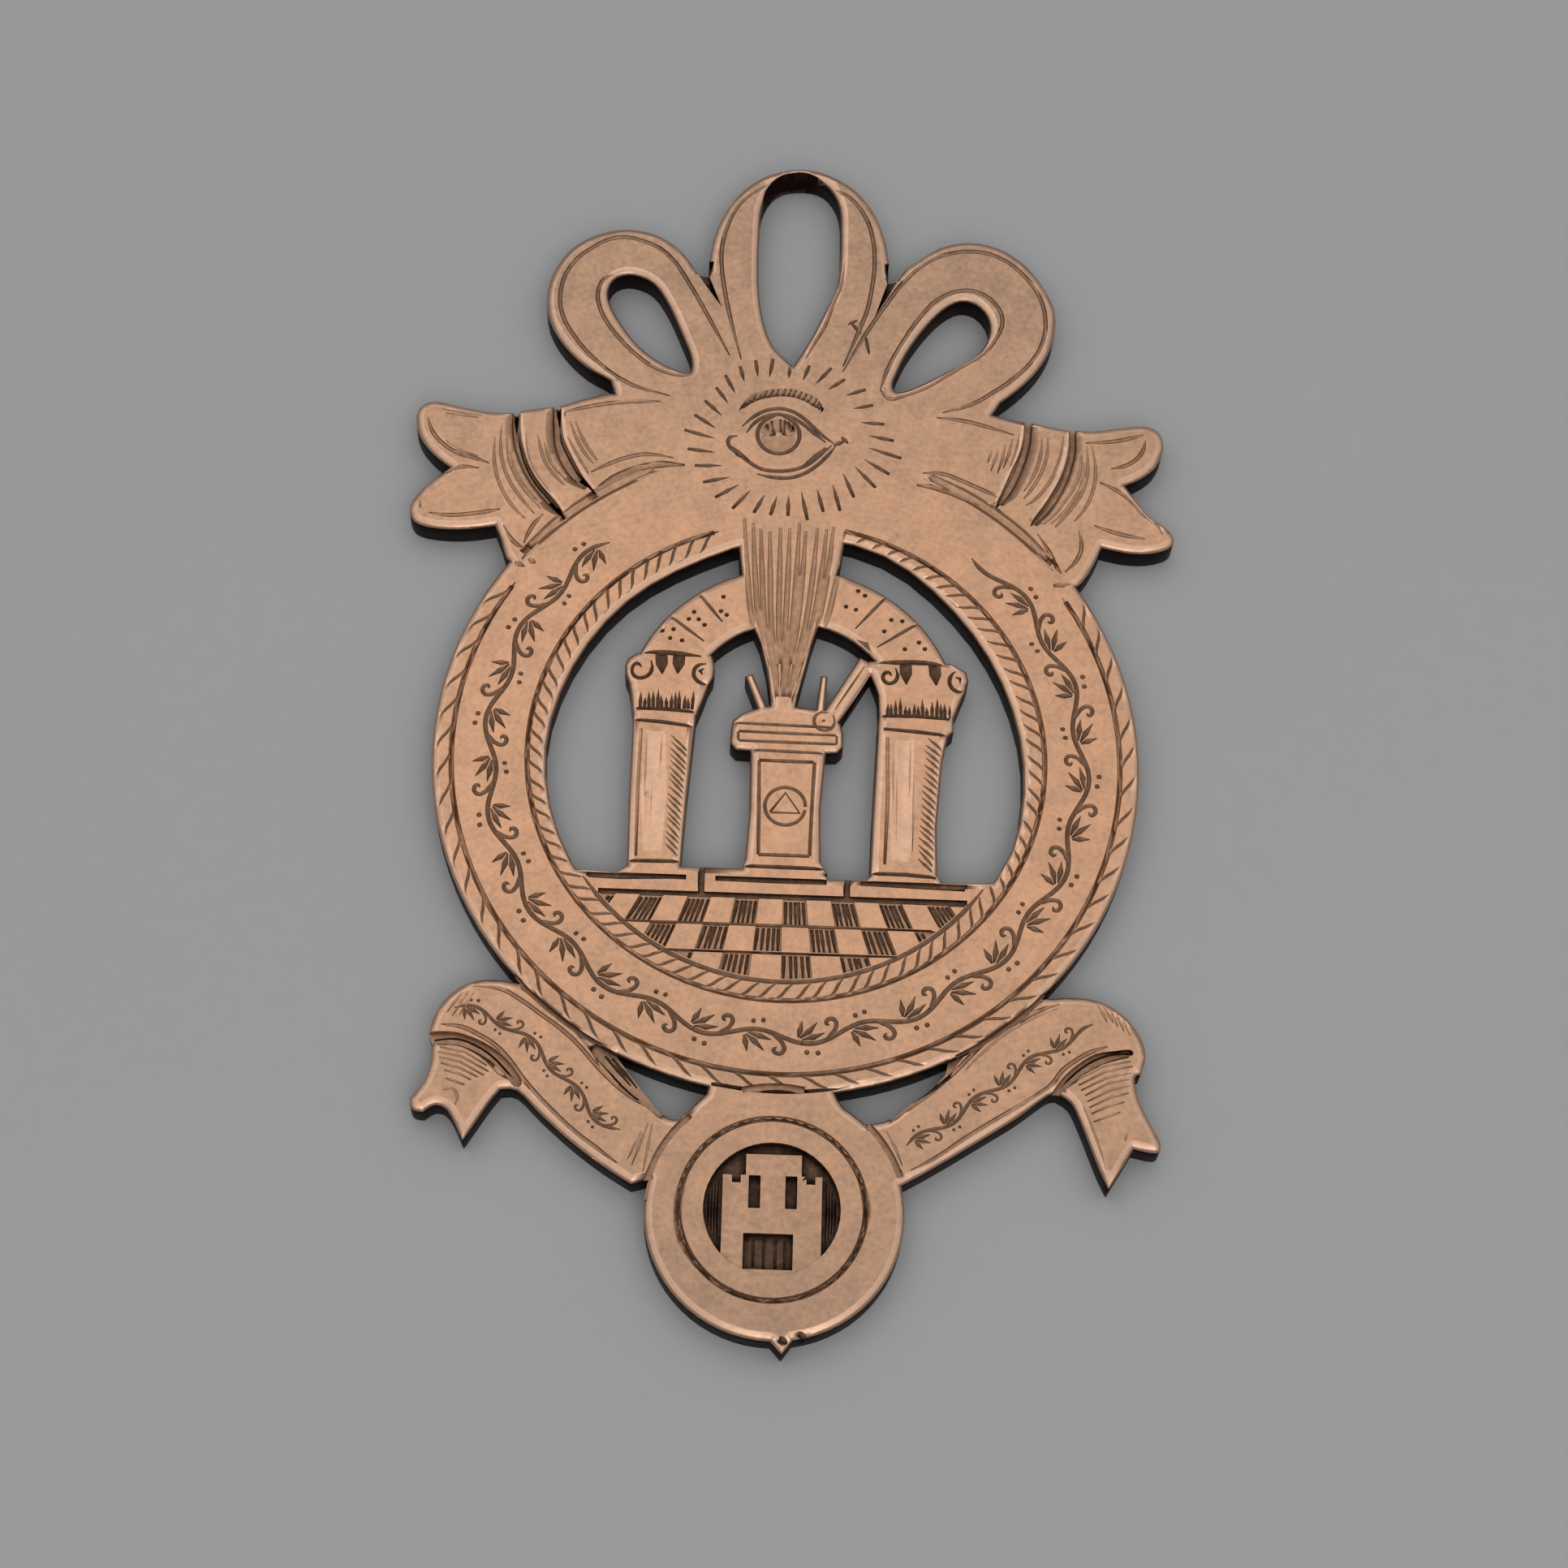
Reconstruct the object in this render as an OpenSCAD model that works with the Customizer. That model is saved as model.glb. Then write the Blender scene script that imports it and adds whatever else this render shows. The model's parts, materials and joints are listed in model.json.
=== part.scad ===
// Pierced and engraved jewel: one flat plate with a bow, a ribbon, a ring
// round an arched scene, two scrolls and a roundel. It lies on its back, with
// the origin under the middle of its length and width, +Z out of its face and
// +Y towards the middle loop of the bow.

/* [Plate] */
// Thickness of the plate
plate_t = 1.7; // [1.2:0.1:2.6]
// Depth of the carved valleys at folds and overlaps
carve_d = 0.4; // [0.2:0.05:0.7]
// Depth of the engraved lines
line_d = 0.2; // [0.1:0.05:0.35]
// Width of the engraved lines
line_w = 0.26; // [0.16:0.02:0.36]

/* [Ring] */
// Outer diameter of the ring
ring_d = 35.1; // [33:0.1:38]
// Diameter of the open window inside the ring
window_d = 23.7; // [22.8:0.1:24.6]
// Width of the rope border round the window
inner_rope_w = 0.98; // [0.7:0.02:1.3]
// Width of the rope border along the ring's outer edge
outer_rope_w = 0.98; // [0.7:0.02:1.3]

/* [Bow] */
// Height of the knot above the ring's outer edge
knot_rise = 3.45; // [3.3:0.05:3.7]
// Reach of the side loops' outer line, from the middle
bow_reach = 12.5; // [11.5:0.1:13.5]
// Height of the middle loop's opening above the knot
bow_rise = 12.5; // [11:0.1:14]
// Tilt of the worn end of the middle loop's opening, in degrees
wear_tilt = 14; // [6:1:18]

/* [Ribbon] */
// Reach of the ribbon's tails, from the middle
tail_reach = 20; // [19:0.1:22]
// Height of the ribbon from its lowest point to its upper edge
ribbon_h = 10; // [9.5:0.1:10.6]
// Height of the ribbon's lowest point above the middle of the ring
ribbon_foot = 10; // [9.6:0.1:10.4]

/* [Scrolls] */
// Distance of a scroll's inner corner from the middle
scroll_reach = 12.5; // [12:0.1:13.4]
// Height of a scroll from its upper edge to the tip of its tail
scroll_h = 10; // [9.4:0.1:10.8]
// Depth of the scrolls' upper edge below the middle of the ring
scroll_drop = 12; // [11.6:0.1:12.4]

/* [Roundel] */
// Diameter of the roundel
roundel_d = 12.3; // [11.4:0.1:13.4]
// Overlap of the roundel and the ring
roundel_lap = 0.35; // [0.1:0.05:0.8]
// Diameter of the engraved circle
roundel_line_d = 8.86; // [8:0.02:9.6]
// Diameter of the sunk field
field_d = 6.5; // [5.6:0.1:7.2]
// Depth of the sunk field
field_depth = 0.5; // [0.3:0.05:0.8]
// Width of the gatehouse in the field
gate_w = 4.7; // [4:0.1:5.2]
// Length of the small point under the roundel
nib_l = 0.6; // [0.3:0.1:1]
// Width of the small point where it leaves the roundel
nib_w = 1.8; // [1.4:0.1:2.4]

/* [Arch and columns] */
// Height of the arch's centre above the middle of the ring
arch_y = 2; // [1.6:0.1:2.3]
// Distance of the arch's centre to the right of the ring's
arch_shift = 0.2; // [-0.2:0.05:0.3]
// Inner radius of the arch
arch_in_r = 5.35; // [5:0.05:5.7]
// Width of the arch band
arch_w = 3.05; // [2.8:0.05:3.4]
// Distance of the columns' axes from the middle
column_x = 6.15; // [6:0.05:6.4]
// Width of a capital
capital_w = 5; // [4.6:0.1:5.3]
// Height of a column up to the volutes
column_h = 10; // [9.8:0.1:10.4]

/* [Altar and rays] */
// Width of the altar's slab
altar_w = 5.6; // [5:0.1:6]
// Height of the altar
altar_h = 8; // [7.6:0.1:8.2]
// Width of the sheaf of rays where it leaves the ring
rays_w = 5.5; // [5:0.1:6]
// Length of the sheaf's point inside the mound on the altar
rays_seat = 0.35; // [0.2:0.05:0.6]
// Width of the tools that stand on the altar
tool_w = 0.46; // [0.36:0.02:0.6]
// Width of the bar that leans from the altar on the right capital
bar_w = 0.94; // [0.8:0.02:1.1]

/* [Floor] */
// Depth of the steps' upper edge below the middle of the ring
step_drop = 6; // [5.8:0.05:6.2]
// Height of the steps
step_h = 1.6; // [1.4:0.05:1.9]
// Height of the dip beside a column's foot
step_dip = 0.42; // [0.2:0.02:0.6]
// Width of a square of the pavement at the steps
tile_w = 1.16; // [1:0.02:1.4]
// Height of a row of the pavement
tile_h = 1.4; // [1.2:0.05:1.5]

/* [Hidden] */
$fn = 96;

slack = 0.5;
ring_r = ring_d / 2;
window_r = window_d / 2;
scene_r = window_r + 2 * slack;
inner_line_r = window_r + inner_rope_w;
outer_line_r = ring_r - outer_rope_w;
knot_y = ring_r + knot_rise;
roundel_r = roundel_d / 2;
roundel_y = roundel_lap - ring_r - roundel_r;
floor_y = -step_drop;
altar_top = floor_y + altar_h;
mound_share = 0.095;
capital_y = floor_y + 1.13 * column_h;

// Height of the middle loop's top, and of the middle of the whole jewel
loop_share = 1.044;
mid_y = (knot_y + loop_share * bow_rise + roundel_y - roundel_r - nib_l) / 2;

// Steps of a curve between two of its points
curve_steps = 3;

// The window is sawn by hand: shares of its radius, at equal angles from +X
window_shares = [
    0.992, 0.975, 0.987, 1.030, 1.030, 0.980, 0.980, 0.985,
    1.004, 1.008, 1.010, 1.000, 1.000, 1.000, 1.010, 1.020
];

// Columns: share of the reach, share of the rise
left_loop = [
    [-0.300, 0.300], [-0.440, 0.536], [-0.504, 0.624], [-0.600, 0.692], [-0.720, 0.716],
    [-0.840, 0.692], [-0.944, 0.628], [-1.016, 0.528], [-1.052, 0.400], [-1.036, 0.264],
    [-0.968, 0.144], [-0.872, 0.048], [-0.768, -0.012], [-0.704, -0.070]
];
right_loop = [
    [0.300, 0.300], [0.424, 0.540], [0.504, 0.620], [0.600, 0.688], [0.720, 0.716],
    [0.840, 0.692], [0.944, 0.624], [1.024, 0.520], [1.076, 0.400], [1.072, 0.268],
    [1.028, 0.152], [0.952, 0.048], [0.848, -0.048], [0.744, -0.104]
];
middle_loop = [
    [-0.370, 0.440], [-0.380, 0.528], [-0.376, 0.608], [-0.356, 0.720], [-0.312, 0.832],
    [-0.240, 0.936], [-0.136, 1.012], [0.000, loop_share], [0.120, 1.020], [0.232, 0.948],
    [0.312, 0.840], [0.356, 0.720], [0.376, 0.608], [0.376, 0.528], [0.370, 0.440]
];
left_eye = [
    [-0.436, 0.060], [-0.444, 0.124], [-0.484, 0.224], [-0.540, 0.352], [-0.608, 0.456],
    [-0.696, 0.496], [-0.764, 0.480], [-0.796, 0.424], [-0.788, 0.352], [-0.736, 0.256],
    [-0.664, 0.160], [-0.576, 0.088], [-0.496, 0.048], [-0.450, 0.036]
];
right_eye = [
    [0.400, 0.014], [0.412, 0.060], [0.456, 0.168], [0.528, 0.288], [0.608, 0.384],
    [0.680, 0.428], [0.744, 0.416], [0.792, 0.360], [0.804, 0.288], [0.776, 0.208],
    [0.720, 0.148], [0.624, 0.088], [0.528, 0.028], [0.452, -0.010], [0.412, -0.014]
];
middle_eye = [
    [-0.016, 0.088], [0.020, 0.152], [0.064, 0.240], [0.108, 0.344], [0.152, 0.448],
    [0.170, 0.560], [0.172, 0.720], [0.164, 0.860], [0.118, 0.956], [0.048, 0.996],
    [-0.056, 0.992], [-0.124, 0.946], [-0.165, 0.850], [-0.172, 0.720], [-0.172, 0.560],
    [-0.165, 0.424], [-0.144, 0.296], [-0.104, 0.184], [-0.048, 0.120]
];

// Columns: share of the tails' reach, share of the ribbon's height.
// Each part starts at a corner.
left_ribbon = [
    [[-0.250, 0.900], [-0.445, 1.005], [-0.525, 0.985], [-0.608, 0.925], [-0.670, 0.905]],
    [[-0.725, 0.875], [-0.790, 0.875], [-0.865, 0.900], [-0.930, 0.925], [-0.966, 0.890],
     [-0.975, 0.810], [-0.960, 0.710], [-0.925, 0.620]],
    [[-0.878, 0.545], [-0.910, 0.490], [-0.950, 0.410], [-0.973, 0.325], [-0.971, 0.262],
     [-0.948, 0.215], [-0.890, 0.195], [-0.820, 0.200]],
    [[-0.755, 0.225], [-0.738, 0.140], [-0.706, 0.010], [-0.600, 0.000]]
];
right_ribbon = [
    [[0.250, 0.900], [0.470, 0.970], [0.550, 0.945], [0.620, 0.925]],
    [[0.700, 0.895], [0.775, 0.895], [0.860, 0.925], [0.915, 0.932], [0.946, 0.885], [0.952, 0.800],
     [0.930, 0.695], [0.890, 0.625]],
    [[0.850, 0.585], [0.880, 0.500], [0.915, 0.410], [0.958, 0.345], [0.975, 0.285], [0.960, 0.232],
     [0.910, 0.200], [0.850, 0.200]],
    [[0.790, 0.225], [0.775, 0.150], [0.746, 0.045], [0.710, -0.010], [0.600, 0.000]]
];
// The two carved valleys of each side, upper end first
left_folds = [
    [[-0.625, 1.000], [-0.620, 0.820], [-0.614, 0.700], [-0.594, 0.590], [-0.564, 0.510],
     [-0.530, 0.460], [-0.505, 0.410], [-0.508, 0.430], [-0.536, 0.500], [-0.566, 0.610],
     [-0.590, 0.710], [-0.602, 0.810], [-0.608, 1.000]],
    [[-0.727, 1.000], [-0.724, 0.760], [-0.712, 0.650], [-0.690, 0.540], [-0.656, 0.435],
     [-0.616, 0.345], [-0.578, 0.260], [-0.580, 0.285], [-0.612, 0.380], [-0.648, 0.465],
     [-0.678, 0.560], [-0.696, 0.660], [-0.708, 0.770], [-0.711, 1.000]]
];
right_folds = [
    [[0.612, 1.000], [0.606, 0.820], [0.592, 0.700], [0.572, 0.590], [0.552, 0.510],
     [0.524, 0.425], [0.518, 0.430], [0.536, 0.520], [0.556, 0.630], [0.578, 0.730],
     [0.590, 0.820], [0.598, 1.000]],
    [[0.724, 1.000], [0.724, 0.800], [0.716, 0.700], [0.702, 0.600], [0.680, 0.500],
     [0.650, 0.410], [0.612, 0.325], [0.610, 0.345], [0.640, 0.440], [0.666, 0.530],
     [0.688, 0.620], [0.702, 0.720], [0.710, 0.820], [0.710, 1.000]]
];

// Columns: share of the scroll's reach, share of its height, down from its upper edge
left_scroll = [
    [[-0.944, 0.040], [-1.008, -0.030], [-1.104, -0.020], [-1.200, -0.040], [-1.280, -0.115],
     [-1.328, -0.220]],
    [[-1.340, -0.310], [-1.328, -0.360], [-1.328, -0.450], [-1.352, -0.550], [-1.396, -0.630],
     [-1.384, -0.685]],
    [[-1.344, -0.695], [-1.304, -0.660], [-1.264, -0.670], [-1.232, -0.720]],
    [[-1.188, -0.830], [-1.144, -0.740], [-1.096, -0.640]],
    [[-1.056, -0.570], [-0.992, -0.575], [-0.896, -0.690], [-0.776, -0.820], [-0.656, -0.930]],
    [[-0.544, -1.015], [-0.300, -0.900]],
    [[-0.350, -0.690], [-0.416, -0.685], [-0.480, -0.600], [-0.528, -0.525], [-0.576, -0.450],
     [-0.616, -0.380], [-0.688, -0.260]]
];
right_scroll = [
    [[0.944, 0.040], [1.024, -0.020], [1.136, -0.010], [1.248, -0.030], [1.344, -0.110],
     [1.400, -0.220], [1.412, -0.310]],
    [[1.392, -0.390], [1.368, -0.410], [1.384, -0.520], [1.424, -0.630], [1.464, -0.730],
     [1.448, -0.780]],
    [[1.360, -0.762], [1.320, -0.850]],
    [[1.264, -0.965], [1.232, -0.880], [1.192, -0.750], [1.152, -0.620], [1.120, -0.540]],
    [[1.072, -0.500], [1.032, -0.515], [0.920, -0.625], [0.800, -0.725], [0.680, -0.825],
     [0.560, -0.920]],
    [[0.464, -0.990], [0.300, -0.900]],
    [[0.300, -0.690], [0.416, -0.665], [0.496, -0.580], [0.576, -0.500], [0.632, -0.430],
     [0.648, -0.390], [0.688, -0.260]]
];
// The low strip along each scroll's upper edge, beside the gap
left_strip = [
    [-0.448, -0.690], [-0.520, -0.625], [-0.600, -0.540], [-0.672, -0.440], [-0.728, -0.360],
    [-0.690, -0.300], [-0.580, -0.340], [-0.480, -0.520], [-0.400, -0.640]
];
right_strip = [
    [0.440, -0.670], [0.504, -0.610], [0.576, -0.545], [0.640, -0.475], [0.690, -0.370],
    [0.740, -0.290], [0.680, -0.300], [0.560, -0.400], [0.400, -0.610]
];
// The valley where each scroll's end turns under
left_turn = [
    [-1.400, -0.312], [-1.264, -0.295], [-1.184, -0.315], [-1.104, -0.360], [-1.032, -0.430],
    [-0.976, -0.530], [-1.000, -0.560], [-1.072, -0.460], [-1.144, -0.400], [-1.216, -0.365],
    [-1.296, -0.360], [-1.400, -0.362]
];
right_turn = [
    [1.352, -0.272], [1.296, -0.280], [1.216, -0.300], [1.144, -0.360], [1.088, -0.430],
    [1.048, -0.510], [1.064, -0.520], [1.112, -0.470], [1.160, -0.410], [1.224, -0.360],
    [1.296, -0.320], [1.360, -0.300]
];

// The roundel's shoulders under the ring, as shares of its radius
shoulders = [
    [-0.75, 0.66], [-0.74, 0.74], [-0.63, 0.855], [-0.55, 0.935], [-0.53, 1.02],
    [0.42, 1.02], [0.47, 0.92], [0.52, 0.85], [0.60, 0.77]
];

// Columns: share of the column's height, shares of half the capital's width
// left and right of its axis
left_column = [
    [-0.02, -0.60, 0.44], [0.35, -0.63, 0.52], [0.60, -0.62, 0.59], [0.80, -0.62, 0.64],
    [0.83, -0.64, 0.68], [0.90, -0.67, 0.78], [0.97, -0.72, 0.86], [1.02, -0.80, 0.96],
    [1.07, -0.82, 0.98], [1.11, -0.76, 0.95], [1.14, -0.58, 0.92]
];
right_column = [
    [-0.02, -0.76, 0.56], [0.25, -0.74, 0.54], [0.60, -0.68, 0.64], [0.74, -0.66, 0.74],
    [0.77, -0.66, 0.86], [0.84, -0.64, 0.86], [0.95, -0.66, 1.02], [1.00, -0.72, 1.10],
    [1.05, -0.80, 1.15], [1.10, -0.86, 1.10], [1.14, -0.86, 0.80]
];
// Columns: share of the altar's height, shares of half the slab's width
altar_rows = [
    [-0.02, -0.74, 0.77], [0.06, -0.68, 0.65], [0.40, -0.625, 0.625], [0.75, -0.635, 0.69],
    [0.785, -0.64, 0.70], [0.79, -0.90, 0.90], [0.83, -1.00, 1.00], [0.92, -1.00, 1.00],
    [0.985, -0.97, 0.95], [1.04, -0.80, 0.80], [1.08, -0.50, 0.50], [1 + mound_share, -0.35, 0.15]
];
// Columns: share of the sheaf's length, shares of half its width
ray_rows = [
    [0.00, -0.31, 0.13], [0.09, -0.33, 0.18], [0.22, -0.40, 0.29], [0.36, -0.53, 0.41],
    [0.49, -0.745, 0.55], [0.61, -0.84, 0.71], [0.80, -0.96, 0.91], [1.00, -1.00, 1.00]
];
// Columns: foot and head of each tool as shares of the altar's slab width and
// height, then the widths of foot and head as shares of a tool's width
tools = [
    [[-0.20, 1.03], [-0.355, 1.30], 1.0, 0.85],
    [[0.285, 1.02], [0.32, 1.31], 1.0, 0.75]
];

// A point of a curve that passes through b and c, with a and d beside them
function curve_point(a, b, c, d, t) =
    0.5 * (2 * b + (c - a) * t + (2 * a - 5 * b + 4 * c - d) * t * t
    + (3 * b - a - 3 * c + d) * t * t * t);

// An open curve through all of p, without its last point
function curve(p) = [
    for (i = [0 : len(p) - 2]) for (k = [0 : curve_steps - 1])
        curve_point(p[max(i - 1, 0)], p[i], p[i + 1], p[min(i + 2, len(p) - 1)], k / curve_steps)
];

// A closed curve through all of p
function closed_curve(p) = [
    for (i = [0 : len(p) - 1]) for (k = [0 : curve_steps - 1])
        curve_point(p[(i + len(p) - 1) % len(p)], p[i], p[(i + 1) % len(p)],
            p[(i + 2) % len(p)], k / curve_steps)
];

// An outline of several curves, each of which runs to the next one's first point
function cornered(parts) = [
    for (i = [0 : len(parts) - 1])
        each curve(concat(parts[i], [parts[(i + 1) % len(parts)][0]]))
];

function scaled(p, sx, sy) = [for (q = p) [q[0] * sx, q[1] * sy]];

// Both sides of a shape given by rows of height, left and right
function sides(rows, half_w, h) = concat(
    [for (r = rows) [r[1] * half_w, r[0] * h]],
    [for (i = [len(rows) - 1 : -1 : 0]) [rows[i][2] * half_w, rows[i][0] * h]]
);

module at_knot() {
    translate([0, knot_y]) children();
}

module at_ribbon() {
    translate([0, ribbon_foot]) children();
}

module at_scrolls() {
    translate([0, -scroll_drop]) children();
}

// A full-thickness slab of each outline
module slab() {
    for (i = [0 : $children - 1]) linear_extrude(plate_t) children(i);
}

// A cut through the whole plate
module sawn() {
    translate([0, 0, -slack]) linear_extrude(plate_t + 2 * slack) children();
}

module bow() {
    at_knot() slab() {
        polygon(scaled(closed_curve(left_loop), bow_reach, bow_rise));
        polygon(scaled(closed_curve(right_loop), bow_reach, bow_rise));
        polygon(scaled(closed_curve(middle_loop), bow_reach, bow_rise));
        polygon(scaled([[-0.44, 0.536], [-0.38, 0.528], [0.376, 0.528], [0.424, 0.54],
            [0.76, -0.1], [0.755, -0.3], [-0.72, -0.3], [-0.735, -0.042]], bow_reach, bow_rise));
    }
}

module bow_openings() {
    at_knot() sawn() {
        polygon(scaled(closed_curve(left_eye), bow_reach, bow_rise));
        polygon(scaled(closed_curve(right_eye), bow_reach, bow_rise));
        polygon(scaled(cornered([middle_eye]), bow_reach, bow_rise));
    }
}

module ribbon() {
    at_ribbon() slab() {
        polygon(scaled(cornered(left_ribbon), tail_reach, ribbon_h));
        polygon(scaled(cornered(right_ribbon), tail_reach, ribbon_h));
        polygon(scaled([[-0.46, 0.98], [0.48, 0.95], [0.6, 0], [-0.6, 0]], tail_reach, ribbon_h));
    }
}

module scrolls() {
    at_scrolls() slab() {
        polygon(scaled(cornered(left_scroll), scroll_reach, scroll_h));
        polygon(scaled(cornered(right_scroll), scroll_reach, scroll_h));
    }
}

module roundel() {
    translate([0, roundel_y, 0]) slab() {
        circle(roundel_r);
        polygon(roundel_r * shoulders);
        polygon([[-0.28 * nib_w, slack - roundel_r], [0.28 * nib_w, -roundel_r - nib_l],
            [0.72 * nib_w, slack - roundel_r]]);
    }
}

module arch() {
    slab() intersection() {
        translate([arch_shift, arch_y]) difference() {
            circle(arch_in_r + arch_w);
            circle(arch_in_r);
        }
        translate([-window_r, capital_y - 0.05 * column_h]) square([window_d, window_r]);
    }
}

module columns() slab() {
    translate([-column_x, floor_y]) polygon(sides(left_column, capital_w / 2, column_h));
    translate([column_x, floor_y]) polygon(sides(right_column, capital_w / 2, column_h));
}

// A straight bar between two points, with a width of its own at each
module stick(foot, head, foot_w, head_w) {
    along = (head - foot) / norm(head - foot);
    across = [-along[1], along[0]] / 2;
    polygon([foot - across * foot_w, foot + across * foot_w,
        head + across * head_w, head - across * head_w]);
}

module altar() {
    slab() {
        translate([0, floor_y]) polygon(sides(altar_rows, altar_w / 2, altar_h));
        translate([0.33 * altar_w, altar_top - 0.1 * tool_w]) circle(1.1 * tool_w);
        stick([0.382 * altar_w, altar_top + 0.02 * altar_h],
            [column_x - 0.435 * capital_w, floor_y + 1.136 * column_h], bar_w, bar_w);
    }
    for (tool = tools) slab()
        stick([tool[0][0] * altar_w, floor_y + tool[0][1] * altar_h],
            [tool[1][0] * altar_w, floor_y + tool[1][1] * altar_h], tool[2] * tool_w, tool[3] * tool_w);
}

module rays() {
    rays_foot = altar_top + mound_share * altar_h - rays_seat;
    slab() translate([0, rays_foot]) polygon(sides(ray_rows, rays_w / 2, inner_line_r - rays_foot));
}

module floor_steps() {
    x = window_r;
    slab() polygon([
        [-x, floor_y - 0.5 * step_dip], [-0.69 * x, floor_y - step_dip], [-0.64 * x, floor_y],
        [0.16 * x, floor_y], [0.19 * x, floor_y - step_dip], [0.34 * x, floor_y - step_dip],
        [0.37 * x, floor_y], [0.64 * x, floor_y], [0.66 * x, floor_y - step_dip],
        [x, floor_y - 0.5 * step_dip], [x, -x - slack], [-x, -x - slack]
    ]);
}

module window_shape() {
    turn = 360 / len(window_shares);
    polygon(closed_curve([for (i = [0 : len(window_shares) - 1])
        window_r * window_shares[i] * [cos(turn * i), sin(turn * i)]]));
}

module ring() {
    difference() {
        cylinder(h = plate_t, r = ring_r);
        sawn() window_shape();
    }
}

// What stands in the window, with its ends let into the ring
module window_scene() {
    intersection() {
        union() {
            arch();
            columns();
            altar();
            rays();
            floor_steps();
        }
        cylinder(h = plate_t, r = scene_r);
    }
}

// A V groove of the engraver's width along a circle
module round_line(r, from, sweep) {
    translate([0, 0, plate_t]) rotate([0, 0, from]) rotate_extrude(angle = sweep)
        polygon([[r - line_w / 2, 0], [r, -line_d], [r + line_w / 2, 0], [r, slack]]);
}

// A flat-bottomed groove round the outside of a raised edge
module round_valley(r, w, depth, from, sweep) {
    translate([0, 0, plate_t - depth]) rotate([0, 0, from]) rotate_extrude(angle = sweep)
        translate([r, 0]) square([w, depth + slack]);
}

module sunk(depth) {
    translate([0, 0, plate_t - depth]) linear_extrude(depth + slack) children();
}

module ring_lines() {
    round_line(inner_line_r, 108, 330);
    round_line(outer_line_r, 148, 245);
}

// The ring's edge stands in front of the ribbon and of the scrolls
module ring_overlaps() {
    round_valley(ring_r - 1.1 * carve_d, carve_d, carve_d, 40, 26);
    round_valley(ring_r - 1.1 * carve_d, carve_d, carve_d, 115, 27);
    round_valley(ring_r - 0.2 * carve_d, 0.7 * carve_d, carve_d, 223, 18);
    round_valley(ring_r - 0.2 * carve_d, 0.7 * carve_d, carve_d, 299, 18);
}

module fold_valleys() {
    sunk(carve_d) at_ribbon() for (fold = concat(left_folds, right_folds))
        polygon(scaled(closed_curve(fold), tail_reach, ribbon_h));
    sunk(carve_d) at_scrolls() for (turn = [left_turn, right_turn])
        polygon(scaled(closed_curve(turn), scroll_reach, scroll_h));
    sunk(1.5 * carve_d) difference() {
        at_scrolls() for (strip = [left_strip, right_strip])
            polygon(scaled(strip, scroll_reach, scroll_h));
        circle(ring_r);
    }
}

// The low webs between the loops of the bow
module loop_webs() {
    sunk(2 * carve_d) at_knot() {
        polygon(scaled([[-0.46, 0.58], [-0.36, 0.57], [-0.375, 0.49], [-0.32, 0.35],
            [-0.39, 0.45], [-0.435, 0.52]], bow_reach, bow_rise));
        polygon(scaled([[0.46, 0.6], [0.36, 0.59], [0.37, 0.49], [0.32, 0.33],
            [0.37, 0.42], [0.42, 0.52]], bow_reach, bow_rise));
    }
}

// The middle loop is worn towards its end by the ring that it hung on
module loop_wear() {
    wear_r = 0.152 * bow_reach;
    translate([-0.01 * bow_reach, knot_y + 0.987 * bow_rise - wear_r, 0])
        rotate([-wear_tilt, 0, 0]) translate([0, 0, -slack])
            cylinder(h = plate_t + 3 * slack, r = wear_r);
}

// A tower between two lower wings, with a slot window at each side and a doorway
module gatehouse_shape() {
    w = gate_w;
    difference() {
        union() {
            translate([-w / 2, -0.75 * w]) square([w, 1.1 * w]);
            translate([-0.27 * w, 0]) square([0.56 * w, 0.57 * w]);
        }
        for (x = [-0.24, 0.13]) translate([x * w, 0.01 * w]) square([0.12 * w, 0.34 * w]);
        translate([-0.28 * w, -0.62 * w]) square([0.5 * w, 0.37 * w]);
        for (x = [-0.41, 0.34]) translate([x * w, 0.27 * w]) square([0.09 * w, 0.1 * w]);
    }
}

module roundel_relief() {
    translate([0, roundel_y, 0]) {
        translate([-0.01 * roundel_d, 0.012 * roundel_d, 0]) {
            round_line(roundel_line_d / 2, 0, 360);
            translate([0, 0, plate_t - field_depth]) difference() {
                cylinder(h = field_depth + slack, d = field_d);
                linear_extrude(0.8 * field_depth) gatehouse_shape();
            }
        }
        for (arc = [[18, 28], [132, 44], [78, 28]])
            round_valley(roundel_r - 0.3 * carve_d, 0.8 * carve_d, 0.6 * carve_d, arc[0], arc[1]);
    }
}

module step_lines() {
    sunk(line_d) {
        for (line = [[-0.81, -0.40], [-0.28, 0.18], [0.32, 0.76]])
            translate([line[0] * window_r, floor_y - 0.47 * step_h])
                square([(line[1] - line[0]) * window_r, line_w]);
        for (x = [-0.345, 0.255])
            translate([x * window_r, floor_y - 0.9 * step_h]) square([line_w, 0.9 * step_h]);
        translate([-0.76 * window_r, floor_y - step_h]) square([1.52 * window_r, line_w]);
    }
}

// The dark squares of the pavement widen from row to row towards the eye
module pavement() {
    sunk(0.8 * line_d) intersection() {
        circle(window_r - line_w / 2);
        for (row = [0 : 2]) for (i = [-5 : 5]) {
            top_w = tile_w * pow(1.1, row);
            low_w = 1.1 * top_w;
            n = 2 * i + (row % 2);
            y = floor_y - step_h - row * tile_h;
            polygon([[n * top_w, y], [(n + 1) * top_w, y],
                [(n + 1) * low_w, y - tile_h + line_w / 3], [n * low_w, y - tile_h + line_w / 3]]);
        }
    }
}

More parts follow.
